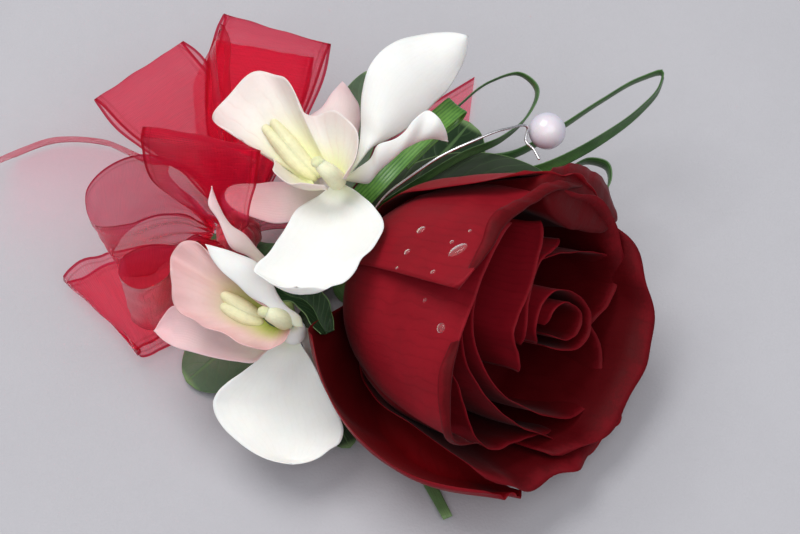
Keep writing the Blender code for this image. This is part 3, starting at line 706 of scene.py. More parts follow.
class Value:
    """What a node gives; arithmetic on it draws the nodes that work it out."""

    def __init__(self, graph: "Graph", socket: bpy.types.NodeSocket) -> None:
        """Keeps the graph and the output that the value comes from."""
        self.graph = graph
        self.socket = socket

    def __add__(self, other: object) -> "Value":
        """This plus other."""
        return self.graph.math("ADD", self, other)

    def __sub__(self, other: object) -> "Value":
        """This less other."""
        return self.graph.math("SUBTRACT", self, other)

    def __rsub__(self, other: object) -> "Value":
        """Other less this."""
        return self.graph.math("SUBTRACT", other, self)

    def __mul__(self, other: object) -> "Value":
        """This times other."""
        return self.graph.math("MULTIPLY", self, other)

    def __rtruediv__(self, other: object) -> "Value":
        """Other divided by this."""
        return self.graph.math("DIVIDE", other, self)

    def __pow__(self, power: float) -> "Value":
        """This raised to a power."""
        return self.graph.math("POWER", self, power)

    def __abs__(self) -> "Value":
        """This without its sign."""
        return self.graph.math("ABSOLUTE", self)

    def ripple(self) -> "Value":
        """The sine of this, without its sign."""
        return abs(self.graph.math("SINE", self))

    def over(self, other: object) -> "Value":
        """The larger of this and other."""
        return self.graph.math("MAXIMUM", self, other)

    def fade(self, start: float, end: float, low: float = 0.0, high: float = 1.0) -> "Value":
        """A number that goes smoothly from low to high as this goes from start to end."""
        inputs = (self, start, end, low, high)
        return self.graph.give("ShaderNodeMapRange", inputs, interpolation_type="SMOOTHSTEP")

    def within(self, low: float, high: float) -> "Value":
        """A number that goes smoothly from low to high as this goes from 0 to 1."""
        return self.fade(0.0, 1.0, low, high)

    def split(self) -> list["Value"]:
        """The three numbers of a vector."""
        return [Value(self.graph, out) for out in self.graph.node("ShaderNodeSeparateXYZ", (self,)).outputs]


class Graph:
    """A node tree being drawn."""

    def __init__(self, tree: bpy.types.NodeTree) -> None:
        """Draws in tree."""
        self.tree = tree

    def node(self, kind: str, inputs: Sequence | dict = (), **settings: object) -> bpy.types.Node:
        """Adds a node.

        Args:
            kind: its type.
            inputs: what its inputs get, in their order, or by name or number.
            settings: its properties.

        Returns:
            The node.
        """
        node = self.tree.nodes.new(kind)
        for key, value in settings.items():
            setattr(node, key, value)
        self.feed(node, inputs if isinstance(inputs, dict) else dict(enumerate(inputs)))
        return node

    def feed(self, node: bpy.types.Node, inputs: dict) -> None:
        """Joins a node's inputs to values, or sets them to plain numbers and colours.

        Args:
            node: the node.
            inputs: what its inputs get, by name or number.
        """
        for key, value in inputs.items():
            socket = node.inputs[key]
            if isinstance(value, Value):
                self.tree.links.new(value.socket, socket)
            elif isinstance(value, tuple) and len(value) < len(socket.default_value):
                socket.default_value = (*value, 1.0)
            else:
                socket.default_value = value

    def give(
        self, kind: str, inputs: Sequence | dict = (), output: int | str = 0, **settings: object
    ) -> Value:
        """Adds a node as node does, and gives one of its outputs."""
        return Value(self, self.node(kind, inputs, **settings).outputs[output])

    def math(self, operation: str, *values: object) -> Value:
        """A number worked out from others."""
        return self.give("ShaderNodeMath", values, operation=operation)

    def mix(self, share: object, low: object, high: object, **settings: object) -> Value:
        """A colour between two others."""
        return self.give("ShaderNodeMix", {0: share, 6: low, 7: high}, 2, data_type="RGBA", **settings)

    def noise(self, vector: Value, scale: float, detail: float = 3.0, distortion: float = 0.0) -> Value:
        """A cloudy number from 0 to 1."""
        inputs = {"Vector": vector, "Scale": scale, "Detail": detail, "Distortion": distortion}
        return self.give("ShaderNodeTexNoise", inputs, "Fac")

    def join(self, x: object, y: object) -> Value:
        """A vector from two numbers."""
        return self.give("ShaderNodeCombineXYZ", (x, y))

    def attribute(self, label: str) -> Value:
        """A vector that the mesh keeps at each point."""
        return self.give("ShaderNodeAttribute", (), "Vector", attribute_name=label)

    def point(self) -> Value:
        """Where on the piece a point lies, in metres."""
        return self.give("ShaderNodeTexCoord", (), "Object")

    def bump(self, shader: bpy.types.Node, height: Value, strength: float, distance: float) -> None:
        """Gives a shader relief.

        Args:
            shader: the shader whose normal is bent.
            height: the relief, from 0 to 1.
            strength: how much of it shows.
            distance: how high it stands, in millimetres.
        """
        inputs = {"Strength": strength, "Distance": distance * MM, "Height": height}
        self.feed(shader, {"Normal": self.give("ShaderNodeBump", inputs)})


class Effect(Enum):
    """The effects that several finishes share: each one's name, its vector inputs and its number."""

    VEINS = ("fanned veins", ("Place", "Point"), "Count")
    MOTTLE = ("mottling", ("Point",), "Size")
    THREADS = ("woven threads", ("Span",), "Pitch")

    def group(self) -> bpy.types.NodeTree:
        """Makes the effect's node group the first time that it is asked for, then finds it.

        Returns:
            The group.
        """
        name, vectors, number = self.value
        found = bpy.data.node_groups.get(name)
        if found:
            return found
        tree = bpy.data.node_groups.new(name, "ShaderNodeTree")
        for label in vectors:
            tree.interface.new_socket(label, in_out="INPUT", socket_type="NodeSocketVector")
        tree.interface.new_socket(number, in_out="INPUT", socket_type="NodeSocketFloat")
        tree.interface.new_socket("Mask", in_out="OUTPUT", socket_type="NodeSocketFloat")
        graph = Graph(tree)
        source = graph.node("NodeGroupInput")
        draw = {Effect.VEINS: self._veins, Effect.MOTTLE: self._mottle, Effect.THREADS: self._threads}[self]
        mask = draw(graph, *(Value(graph, source.outputs[label]) for label in (*vectors, number)))
        graph.node("NodeGroupOutput", {"Mask": mask})
        return tree

    def use(self, graph: Graph, *inputs: object) -> Value:
        """The effect's mask in a material, from the group's inputs in their order."""
        return graph.give("ShaderNodeGroup", inputs, node_tree=self.group())

    @staticmethod
    def _veins(graph: Graph, place: Value, point: Value, count: Value) -> Value:
        """Draws veins that fan out from a petal's root and break off here and there.

        Args:
            graph: the group's tree.
            place: where on the petal a point lies.
            point: where on the piece it lies, in metres.
            count: veins to each side.

        Returns:
            A mask, 1 on a vein.
        """
        u, v, _ = place.split()
        wander = graph.noise(point, 160.0, 2.0) * 1.6
        line = (1.0 - ((u * count + wander) * math.pi).ripple()) ** 2.5
        return line * graph.noise(graph.join(u * 6.0, v), 5.0, 2.0).fade(0.3, 0.6)

    @staticmethod
    def _mottle(graph: Graph, point: Value, size: Value) -> Value:
        """Draws soft uneven patches with fine grain in them.

        Args:
            graph: the group's tree.
            point: where on the piece a point lies, in metres.
            size: how large the patches are, in metres.

        Returns:
            A mask from 0 to 1.
        """
        scaled = graph.give("ShaderNodeVectorMath", {0: point, "Scale": 1.0 / size}, operation="SCALE")
        coarse, fine = graph.noise(scaled, 1.0, 3.0, 0.4), graph.noise(scaled, 9.0, 2.0)
        return (coarse * 0.75 + fine * 0.25).fade(0.3, 0.7)

    @staticmethod
    def _threads(graph: Graph, span: Value, pitch: Value) -> Value:
        """Draws the threads of a sheer plain weave, with its slubs and gaps.

        Args:
            graph: the group's tree.
            span: where on the ribbon a point lies, in millimetres.
            pitch: how far apart the threads are, in millimetres.

        Returns:
            A mask, 1 on a thread.
        """
        x, y, _ = span.split()
        turns = 2.0 * math.pi / pitch
        weave = (x * turns).ripple().over((y * turns).ripple())
        slubs = graph.noise(graph.join(x * 0.22, y * 2.9), 1.0, 3.0, 0.9)
        return weave * 0.66 + slubs.fade(0.2, 0.8) * 0.34


def toned(colour: Colour, share: float) -> Colour:
    """A colour made lighter or darker."""
    return tuple(c * share for c in colour)


@dataclass(frozen=True)
class Finish:
    """A material: its name, and the name of a slot, which is not used."""

    name: str
    slot: str

    def material(self) -> bpy.types.Material:
        """Makes the material the first time that it is asked for, then finds it.

        Returns:
            The material.
        """
        found = bpy.data.materials.get(self.name)
        if found:
            return found
        material = bpy.data.materials.new(self.name)
        material.use_nodes = True
        material.node_tree.nodes.clear()
        graph = Graph(material.node_tree)
        shader = graph.node("ShaderNodeBsdfPrincipled")
        graph.node("ShaderNodeOutputMaterial", {"Surface": Value(graph, shader.outputs[0])})
        self.paint(graph, shader)
        return material

    def paint(self, graph: Graph, shader: bpy.types.Node) -> None:
        """Draws the material's nodes; each finish has its own."""
        raise NotImplementedError


@dataclass(frozen=True)
class PetalFinish(Finish):
    """A petal: its two faces, its root and its rim, with veins and a soft bloom.

    root_reach is how far up the root's colour fades out, and rim_start where the rim's fades in, both
    from 0 to 1. Shares say how much of a colour shows, and mottle how much darker the patches are.
    """

    face: Colour
    back: Colour
    root: Colour
    rim: Colour
    root_reach: float = 0.35
    rim_start: float = 0.9
    rim_share: float = 0.6
    vein: Colour = (0.0, 0.0, 0.0)
    vein_share: float = 0.1
    veins: float = 9.0
    mottle: float = 0.15
    roughness: float = 0.5
    gloss: float = 0.3
    sheen: float = 0.0
    glow: float = 0.0
    relief: float = 0.25

    def paint(self, graph: Graph, shader: bpy.types.Node) -> None:
        """Draws the petal's colours, veins and relief.

        Args:
            graph: the material's tree.
            shader: the material's shader.
        """
        place, point = graph.attribute("place"), graph.point()
        u, v, side = place.split()
        veins = Effect.VEINS.use(graph, place, point, self.veins)
        patches = Effect.MOTTLE.use(graph, point, 6.0 * MM)
        # On the rose, the face darker than the back is painted shade; on the orchids, both are their own
        # colours.
        colour = graph.mix(side.fade(-1.0, 1.0), self.back, self.face)
        # The root colour: on the orchids, their own green throat; on the rose, painted shade deep in the
        # heart.
        colour = graph.mix(v.fade(0.0, self.root_reach, 1.0, 0.0), colour, self.root)
        # The rim colour: the orchids' own blush, and on the rose a painted highlight along the petals' edges.
        rim_tint_and_edge_light = abs(u).over(v) + (patches - 0.5) * 0.04
        colour = graph.mix(rim_tint_and_edge_light.fade(self.rim_start, 1.0, 0.0, self.rim_share), colour, self.rim)
        colour = graph.mix(veins * self.vein_share, colour, self.vein)
        shade = patches.within(1.0 - self.mottle, 1.0)
        graph.feed(shader, {
            "Base Color": graph.mix(1.0, colour, shade, blend_type="MULTIPLY"),
            "Roughness": patches.within(self.roughness - 0.06, self.roughness + 0.06),
            "Sheen Weight": self.sheen, "Sheen Roughness": 0.35, "Specular IOR Level": self.gloss,
            "Subsurface Weight": self.glow, "Subsurface Radius": (1.0, 0.6, 0.45),
            "Subsurface Scale": 1.2 * MM})
        graph.bump(shader, veins * -0.6 + patches * 0.4, self.relief, 0.25)


@dataclass(frozen=True)
class OrganzaFinish(Finish):
    """Sheer ribbon with a dense woven border.

    cover is how much of it the threads fill. stitch and hem say where, from the middle to the edge,
    its row of stitches fades in and out and its border fades in.
    """

    thread: Colour = (0.70, 0.010, 0.050)
    border: Colour = (0.40, 0.004, 0.018)
    cover: float = 0.54
    stitch: tuple[float, ...] = (0.845, 0.865, 0.875, 0.895)
    hem: tuple[float, float] = (0.935, 0.955)

    def paint(self, graph: Graph, shader: bpy.types.Node) -> None:
        """Draws the weave, its see-through gaps and its borders.

        Args:
            graph: the material's tree.
            shader: the material's shader.
        """
        threads = Effect.THREADS.use(graph, graph.attribute("span"), THREAD_PITCH)
        edge = abs(graph.attribute("place").split()[0])
        stitch = edge.fade(*self.stitch[:2]) * edge.fade(*self.stitch[2:], 1.0, 0.0)
        dense = edge.fade(*self.hem).over(stitch * 0.8)
        streaked = graph.mix(threads, toned(self.thread, 0.86), self.thread)
        solid = threads.within(self.cover - 0.14, self.cover + 0.12).over(dense * 0.97)
        aslant = graph.give("ShaderNodeLayerWeight", {"Blend": 0.5}, "Facing")
        solid = solid + (1.0 - solid) * 0.6 * aslant
        shadow = graph.give("ShaderNodeLightPath", (), "Is Shadow Ray")
        graph.feed(shader, {
            "Base Color": graph.mix(dense, streaked, self.border), "Alpha": solid * (1.0 - shadow * 0.85),
            "Roughness": threads.within(0.62, 0.46), "Sheen Weight": 0.08, "Sheen Roughness": 0.4,
            "Sheen Tint": (1.0, 0.3, 0.4), "Transmission Weight": 0.6, "IOR": 1.1,
            "Specular IOR Level": 0.15})
        graph.bump(shader, threads, 0.25, 0.08)


@dataclass(frozen=True)
class KnotFinish(OrganzaFinish):
    """The ribbon drawn tight in the knot, where its layers leave no gaps.

    creases is how fast its creases follow each other round the knot and along it.
    """

    creases: tuple[float, float] = (22.0, 9.0)

    def paint(self, graph: Graph, shader: bpy.types.Node) -> None:
        """Draws gathered cloth with painted shade in its creases.

        Args:
            graph: the material's tree.
            shader: the material's shader.
        """
        u, v, _ = graph.attribute("place").split()
        threads = Effect.THREADS.use(graph, graph.attribute("span"), THREAD_PITCH)
        creases_with_shade = threads + (u * self.creases[0] + v * self.creases[1]).ripple()
        # The crease troughs fade towards the dark border colour: painted shade in the creases.
        graph.feed(shader, {"Base Color": graph.mix(creases_with_shade * 0.5, self.border, self.thread),
                            "Roughness": threads.within(0.65, 0.5), "Sheen Weight": 0.3})
        graph.bump(shader, creases_with_shade, 0.6, 0.4)


@dataclass(frozen=True)
class LeafFinish(Finish):
    """A leaf: a dark face, a paler back, a midrib with side veins and a pale thin edge."""

    face: Colour = (0.012, 0.030, 0.011)
    back: Colour = (0.032, 0.050, 0.026)
    rib: Colour = (0.12, 0.22, 0.08)
    edge: Colour = (0.20, 0.32, 0.13)
    side_veins: float = 11.0
    vein_slant: float = 2.6
    roughness: float = 0.38

    def paint(self, graph: Graph, shader: bpy.types.Node) -> None:
        """Draws the leaf's colours, veins and relief.

        Args:
            graph: the material's tree.
            shader: the material's shader.
        """
        u, v, side = graph.attribute("place").split()
        point, across = graph.point(), abs(u)
        patches = Effect.MOTTLE.use(graph, point, 5.0 * MM)
        wander = graph.noise(point, 220.0, 2.0) * 0.5
        slope = v * self.side_veins - across * self.vein_slant + wander
        side_vein = (1.0 - (slope * math.pi).ripple()) ** 5.0
        ribs = across.fade(0.02, 0.07, 1.0, 0.0).over(side_vein * 0.35)
        colour = graph.mix(side.fade(-1.0, 1.0), self.back, self.face)
        colour = graph.mix(patches * 0.3, colour, toned(self.face, 2.0))
        colour = graph.mix(ribs * 0.55, colour, self.rib)
        rim = across.over(v).fade(0.95, 0.99)
        graph.feed(shader, {"Base Color": graph.mix(rim * 0.8, colour, self.edge), "Specular IOR Level": 0.16,
                            "Roughness": patches.within(self.roughness - 0.05, self.roughness + 0.1)})
        graph.bump(shader, patches * 0.3 - ribs, 0.4, 0.3)


@dataclass(frozen=True)
class GrassFinish(Finish):
    """A grass blade with fine stripes along it."""

    dark: Colour = (0.012, 0.055, 0.012)
    light: Colour = (0.07, 0.17, 0.04)
    stripes: float = 11.0

    def paint(self, graph: Graph, shader: bpy.types.Node) -> None:
        """Draws the stripes.

        Args:
            graph: the material's tree.
            shader: the material's shader.
        """
        u, v, _ = graph.attribute("place").split()
        stripes = (u * self.stripes + graph.noise(graph.join(u, v * 3.0), 2.0, 2.0)).ripple()
        share = (stripes + Effect.MOTTLE.use(graph, graph.point(), 9.0 * MM)) * 0.5
        graph.feed(shader, {"Base Color": graph.mix(share, self.dark, self.light),
                            "Roughness": stripes.within(0.42, 0.3), "Specular IOR Level": 0.5})
        graph.bump(shader, stripes, 0.4, 0.1)


@dataclass(frozen=True)
class TapeFinish(Finish):
    """Waxed paper tape wound round stems."""

    tone: Colour = (0.035, 0.10, 0.035)

    def paint(self, graph: Graph, shader: bpy.types.Node) -> None:
        """Draws the crimped paper and its overlaps.

        Args:
            graph: the material's tree.
            shader: the material's shader.
        """
        x, y, _ = graph.attribute("span").split()
        lap = (y * 1.1 + x * 0.35).ripple() ** 6.0
        crimp = graph.noise(graph.join(x * 4.0, y * 0.8), 1.0, 3.0)
        share = (crimp + Effect.MOTTLE.use(graph, graph.point(), 3.0 * MM)) * 0.5
        colour = graph.mix(share, self.tone, toned(self.tone, 2.2))
        graph.feed(shader, {"Base Color": graph.mix(lap * 0.5, colour, self.tone),
                            "Roughness": crimp.within(0.75, 0.55)})
        graph.bump(shader, crimp + lap, 0.5, 0.2)


@dataclass(frozen=True)
class PearlFinish(Finish):
    """A pearl bead with a pink and blue bloom under its gloss."""

    body: Colour = (0.80, 0.76, 0.79)
    bloom: Colour = (0.80, 0.62, 0.72)
    rim: Colour = (0.55, 0.55, 0.68)

    def paint(self, graph: Graph, shader: bpy.types.Node) -> None:
        """Draws the bloom and the coat.

        Args:
            graph: the material's tree.
            shader: the material's shader.
        """
        patches = Effect.MOTTLE.use(graph, graph.point(), 3.0 * MM)
        glancing = graph.give("ShaderNodeLayerWeight", (), "Facing")
        bloomed = graph.mix(patches * 0.35, self.body, self.bloom)
        graph.feed(shader, {
            "Base Color": graph.mix(glancing, bloomed, self.rim), "Roughness": patches.within(0.26, 0.34),
            "Coat Weight": 0.8, "Coat Roughness": 0.08, "Subsurface Weight": 0.2,
            "Subsurface Scale": 1.0 * MM})


@dataclass(frozen=True)
class WireFinish(Finish):
    """Bright drawn wire."""

    tone: Colour = (0.78, 0.78, 0.80)

    def paint(self, graph: Graph, shader: bpy.types.Node) -> None:
        """Draws the metal and its faint drawing marks.

        Args:
            graph: the material's tree.
            shader: the material's shader.
        """
        x, y, _ = graph.attribute("span").split()
        marks = graph.noise(graph.join(x * 20.0, y), 1.0, 2.0)
        graph.feed(shader, {"Base Color": graph.mix(marks, toned(self.tone, 0.8), self.tone),
                            "Roughness": marks.fade(0.3, 0.7, 0.16, 0.3), "Metallic": 1.0})


@dataclass(frozen=True)
class WaterFinish(Finish):
    """A water drop with the petal's red painted into its colour, for the petal seen through it."""

    tone: Colour = (0.86, 0.40, 0.42)

    def paint(self, graph: Graph, shader: bpy.types.Node) -> None:
        """Draws water with a faint ripple, its colour the petal's red painted in.

        Args:
            graph: the material's tree.
            shader: the material's shader.
        """
        graph.bump(shader, graph.noise(graph.point(), 400.0, 1.0), 0.05, 0.05)
        # The base colour is painted refraction: the petal's red, as seen through the drop.
        graph.feed(shader, {
            "Base Color": self.tone, "Roughness": 0.02, "IOR": 1.25, "Transmission Weight": 0.85})


@dataclass(frozen=True)
class ClothFinish(Finish):
    """The pale cloth that the corsage lies on."""

    tone: Colour = (0.475, 0.47, 0.50)

    def paint(self, graph: Graph, shader: bpy.types.Node) -> None:
        """Draws a very fine weave.

        Args:
            graph: the material's tree.
            shader: the material's shader.
        """
        point = graph.point()
        fine = graph.noise(point, 1500.0, 1.0)
        share = Effect.MOTTLE.use(graph, point, 40.0 * MM) * 0.6 + fine * 0.4
        colour = graph.mix(share, toned(self.tone, 0.94), self.tone)
        graph.feed(shader, {"Base Color": colour, "Roughness": 0.85})
        graph.bump(shader, fine, 0.25, 0.3)


# The rose's crimson with painted shade: its faces are darker than its backs, as shade inside the cup.
ROSE_SHADED_FACES = PetalFinish(
    "crimson rose, shaded faces", "rose_petals", face=(0.092, 0.001, 0.003), back=(0.26, 0.006, 0.014),
    # root is painted shade deep in the heart, and rim is a painted highlight along the petals' edges.
    root=(0.025, 0.001, 0.002), rim=(0.2, 0.004, 0.01), root_reach=0.45, rim_start=0.93,
    vein=(0.06, 0, 0.002), vein_share=0.16, veins=11, mottle=0.12, roughness=0.58, gloss=0.1, sheen=0.03,
    glow=0.04, relief=0.14)
# A lit copy for the outer petals: their faces are painted as bright as the backs, where light falls on them;
# their root keeps a painted shade.
ROSE_LIT_FACES = replace(
    ROSE_SHADED_FACES, name="crimson rose, lit faces", face=(0.26, 0.003, 0.007), root=(0.05, 0.001, 0.002))
ORCHID_WHITE = PetalFinish(
    "orchid white", "orchid_petals", face=(0.9, 0.89, 0.86), back=(0.88, 0.87, 0.83), root=(0.74, 0.76, 0.55),
    rim=(0.9, 0.89, 0.86), root_reach=0.22, vein=(0.76, 0.73, 0.68), vein_share=0.12, veins=8, mottle=0.03,
    roughness=0.5, sheen=0.15, glow=0.3, relief=0.1)
ORCHID_BLUSH = PetalFinish(
    "orchid blush", "orchid_petals", face=(0.82, 0.66, 0.64), back=(0.82, 0.62, 0.62), root=(0.8, 0.76, 0.62),
    rim=(0.8, 0.5, 0.54), root_reach=0.5, rim_start=0.6, vein=(0.74, 0.48, 0.5), vein_share=0.18, veins=8,
    mottle=0.05, roughness=0.5, sheen=0.15, glow=0.3, relief=0.14)
UPPER_LIP_TINT = PetalFinish(
    "upper lip", "orchid_lip", face=(0.88, 0.83, 0.74), back=(0.86, 0.8, 0.74), root=(0.78, 0.8, 0.4),
    rim=(0.86, 0.7, 0.67), root_reach=0.8, rim_start=0.7, rim_share=0.7, vein=(0.78, 0.55, 0.5),
    vein_share=0.2, veins=16, mottle=0.05, roughness=0.5, sheen=0.15, glow=0.3, relief=0.2)
LOWER_LIP_TINT = PetalFinish(
    "lower lip", "orchid_lip", face=(0.77, 0.57, 0.52), back=(0.76, 0.52, 0.5), root=(0.42, 0.5, 0.08),
    rim=(0.72, 0.4, 0.41), root_reach=0.75, rim_start=0.72, rim_share=0.7, vein=(0.68, 0.38, 0.36),
    vein_share=0.2, veins=16, mottle=0.05, roughness=0.5, sheen=0.15, glow=0.3, relief=0.2)
COLUMN_CREAM = PetalFinish(
    "column cream", "orchid_lip", face=(0.88, 0.87, 0.62), back=(0.88, 0.87, 0.62), root=(0.78, 0.8, 0.46),
    rim=(0.9, 0.9, 0.72), root_reach=0.8, vein=(0.7, 0.7, 0.3), vein_share=0.15, roughness=0.4, glow=0.3)
CALLUS_YELLOW = PetalFinish(
    "callus yellow", "orchid_lip", face=(0.88, 0.85, 0.54), back=(0.88, 0.85, 0.54), root=(0.84, 0.82, 0.46),
    rim=(0.9, 0.88, 0.62), vein=(0.8, 0.6, 0.2), vein_share=0.2, roughness=0.45, glow=0.2)
ORGANZA = OrganzaFinish("red organza", "organza")
GATHERED = KnotFinish("gathered organza", "organza")
LEAF_DARK = LeafFinish("dark leaf", "green_leaf")
LEAF_GREY = LeafFinish("grey leaf", "green_leaf", face=(0.07, 0.11, 0.065), back=(0.09, 0.14, 0.08))
SEPAL_GREEN = LeafFinish("sepal green", "green_leaf", face=(0.06, 0.13, 0.04), back=(0.1, 0.17, 0.07))
GRASS = GrassFinish("striped grass", "grass")
WIDE_GRASS = GrassFinish("wide grass", "grass", dark=(0.01, 0.1, 0.008), light=(0.16, 0.36, 0.06))
TAPE = TapeFinish("stem tape", "stem_tape")
STEM_GREEN = TapeFinish("stem green", "stem_tape", tone=(0.14, 0.2, 0.06))
PEARL_GLOSS = PearlFinish("pearl gloss", "pearl")
SILVER = WireFinish("silver wire", "silver_wire")
WATER = WaterFinish("water", "rose_petals")
CLOTH = ClothFinish("pale cloth", "stage")


@dataclass
class Rose:
    """The rose: its petals from the heart outwards, and its hip with the sepals.

    outer is how many petals, at the end of the list, face outwards; they get the crimson with lit faces, and
    the rest get the one with painted shade on their faces.
    """

    petals: list[Surface]
    outer: int = 3
    heart_radius: float = 7.0
    hip_radius: float = 4.6
    sepal_turns: tuple[float, ...] = (45, 115, 185, 255)

    def bloom(self, shift: Array) -> bpy.types.Object:
        """Draws the petals as one piece.

        Args:
            shift: the move from the layout to the part's frame, in millimetres.

        Returns:
            The piece.
        """
        skin = Skin()
        inner = len(self.petals) - self.outer
        for k, petal in enumerate(self.petals):
            # The outer petals take the lit copy, and the inner ones the copy with painted shade on their
            # faces.
            skin.blade(petal, Cut.ROSE, slot=int(k >= inner))
        # A ball that fills the heart, dark with the crimson's painted shade.
        skin.bead(on_rose(0.0, 0.0, 8.0), (self.heart_radius,) * 3, 12)
        piece = skin.make("rose_petals", [ROSE_SHADED_FACES, ROSE_LIT_FACES], shift)
        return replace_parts(piece, "rose_bloom")

    def hip(self, shift: Array) -> bpy.types.Object:
        """Draws the hip and its sepals as one piece.

        Args:
            shift: the move from the layout to the part's frame, in millimetres.

        Returns:
            The piece.
        """
        middle = on_rose(0.0, 0.0, -5.9)
        skin = Skin().bead(middle, (self.hip_radius,) * 3, 16)
        for angle in np.radians(self.sepal_turns):
            route = [on_rose(angle, r, h) for r, h in ((2.0, -4.0), (7.0, -2.0), (11.5, 0.2), (15.0, 2.6))]
            side = on_rose(angle + math.pi / 2, 1.0, 0.0) - on_rose(0.0, 0.0, 0.0)
            skin.blade(Strip(route, [side], [1.6, 2.6, 2.0, 0.7], cup=0.3), Cut.SEPAL)
        skin.blade(Strip([middle, *SEPAL_ROUTE], [(0.9, 0.4, 0.0)], [1.7, 2.0, 1.7, 1.5, 1.1], cup=0.15),
                   Cut.LONG_SEPAL)
        piece = skin.make("rose_hip_and_sepals", [SEPAL_GREEN], shift)
        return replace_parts(piece, "rose_calyx")


@dataclass
class Orchid:
    """One orchid: the petals round its hub, its lip, the ridges on the lip and its column.

    blushed says which petals are pink, and sunk how deep the ridges lie in the lip, in millimetres.
    """

    name: str
    hub: Point
    petals: list[Surface]
    blushed: tuple[int, ...]
    lip: Scoop
    lip_tint: PetalFinish
    column: list[Point]
    cap: Point
    ridges: list[list[Point]]
    sunk: float = 1.75

    def bloom(self, shift: Array) -> bpy.types.Object:
        """Draws the petals and the hub as one piece.

        Args:
            shift: the move from the layout to the part's frame, in millimetres.

        Returns:
            The piece.
        """
        skin = Skin().bead(self.hub, (HUB_RADIUS,) * 3, 12)
        for k, petal in enumerate(self.petals):
            skin.blade(petal, Cut.ORCHID, slot=int(k in self.blushed))
        piece = skin.make(f"{self.name}_petals", [ORCHID_WHITE, ORCHID_BLUSH], shift)
        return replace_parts(piece, self.name)

    def throat(self, shift: Array) -> bpy.types.Object:
        """Draws the lip, its ridges and the column as one piece.

        Args:
            shift: the move from the layout to the part's frame, in millimetres.

        Returns:
            The piece.
        """
        skin = Skin().blade(self.lip, Cut.LIP)
        skin.tube(self.column, [1.7, 2.1, 1.9, 1.3], 24, 24, slot=1)
        skin.bead(self.cap, (1.6, 1.4, 1.2), 14, slot=1, dents=0.08)
        for ridge in self.ridges:
            sinking = np.linspace(0.7, 1.45, len(ridge)) * self.sunk
            route = [(x, y, z - sink) for (x, y, z), sink in zip(ridge, sinking)]
            skin.tube(route, [0.9, 1.6, 1.6, 0.9], 20, 26, slot=2)
        finishes = [self.lip_tint, COLUMN_CREAM, CALLUS_YELLOW]
        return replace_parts(skin.make(f"{self.name}_lip_and_column", finishes, shift), f"{self.name}_lip")


@dataclass
class Bow:
    """The bow: its knot, the loops and tails that the knot holds, and the loops set on it."""

    strips: dict[str, Strip]
    loops: dict[str, Strip]

    def dress(self, shift: Array) -> list[bpy.types.Object]:
        """Draws the knot and every length of ribbon.

        Args:
            shift: the move from the layout to the part's frame, in millimetres.

        Returns:
            The pieces, the knot first.
        """
        knot = Skin().bead(KNOT, (KNOT_RADIUS,) * 3, 40, dents=0.14)
        pieces = [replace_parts(knot.make("ribbon_knot", [GATHERED], shift), "ribbon_bow")]
        for name, strip in self.strips.items():
            pieces.append(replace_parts(self._ribbon(name, strip, shift), "ribbon_bow"))
        for name, strip in self.loops.items():
            pieces.append(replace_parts(self._ribbon(f"{name}_cloth", strip, shift), name))
        return pieces

    def _ribbon(self, name: str, strip: Strip, shift: Array) -> bpy.types.Object:
        """Args:
            name: the piece's name.
            strip: its shape.
            shift: the move from the layout to the part's frame, in millimetres.

        Returns:
            The piece.
        """
        piece = Skin().veil(strip, Cut.RIBBON).make(name, [ORGANZA], shift)
        flat = (RIBBON_WIDTH * MM, strip.length() * MM)
        area = flat[0] * flat[1] * (1.0 - strip.slant / 2)
        held = "laid" if "tail" in name else "folded"
        return piece


@dataclass
class Foliage:
    """The leaves and the grass; grey names the leaves that are paler than the rest."""

    leaves: dict[str, Surface]
    grasses: dict[str, Strip]
    grey: tuple[str, ...] = ("leaf_left", "leaf_back")

    def dress(self, shift: Array) -> list[bpy.types.Object]:
        """Draws each leaf and each blade.

        Args:
            shift: the move from the layout to the part's frame, in millimetres.

        Returns:
            The pieces.
        """
        pieces = []
        for name, strip in self.leaves.items():
            finish = LEAF_GREY if name in self.grey else LEAF_DARK
            piece = Skin().blade(strip, Cut.LEAF).make(f"{name}_blade", [finish], shift)
            pieces.append(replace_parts(piece, name))
        for name, strip in self.grasses.items():
            finish = WIDE_GRASS if name == "grass_blade" else GRASS
            piece = Skin().blade(strip, Cut.GRASS).make(f"{name}_strand", [finish], shift)
            pieces.append(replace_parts(piece, name))
        return pieces


@dataclass
class Stems:
    """The stems bound in tape, with a pedicel to each orchid."""

    pedicels: list[list[Point]]

    def dress(self, shift: Array) -> bpy.types.Object:
        """Draws the taped handle and the pedicels as one piece.

        Args:
            shift: the move from the layout to the part's frame, in millimetres.

        Returns:
            The piece.
        """
        radii = [HANDLE * share for share in (0.94, 0.96, 0.96, 0.9)]
        skin = Skin().tube(HANDLE_ROUTE, radii, 40, 70, ridge=0.25)
        for route in self.pedicels:
            skin.tube(route, [2.4, 2.0, 1.8, 1.6], 20, 40, slot=1)
        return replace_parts(skin.make("taped_handle", [TAPE, STEM_GREEN], shift), "taped_stems")


@dataclass
class PearlSpray:
    """The pearl and the wire that it rides on."""

    route: list
    radius: float = 4.0
    wire: float = 0.28

    def dress(self, shift: Array) -> list[bpy.types.Object]:
        """Draws the pearl and its wire.

        Args:
            shift: the move from the layout to the part's frame, in millimetres.

        Returns:
            The two pieces.
        """
        pearl = Skin().bead(PEARL, (self.radius,) * 3, 32).make("pearl_bead", [PEARL_GLOSS], shift)
        wire = Skin().tube(self.route, [self.wire] * 2, 12, 160).make("pearl_stalk", [SILVER], shift)
        return [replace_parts(pearl, "pearl"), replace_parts(wire, "pearl_wire")]


@dataclass(frozen=True)
class Drop:
    """A water drop: where the photograph's viewer sees it, and its half sizes in millimetres."""

    x: float
    y: float
    wide: float
    long: float
    lean: float = 0.0


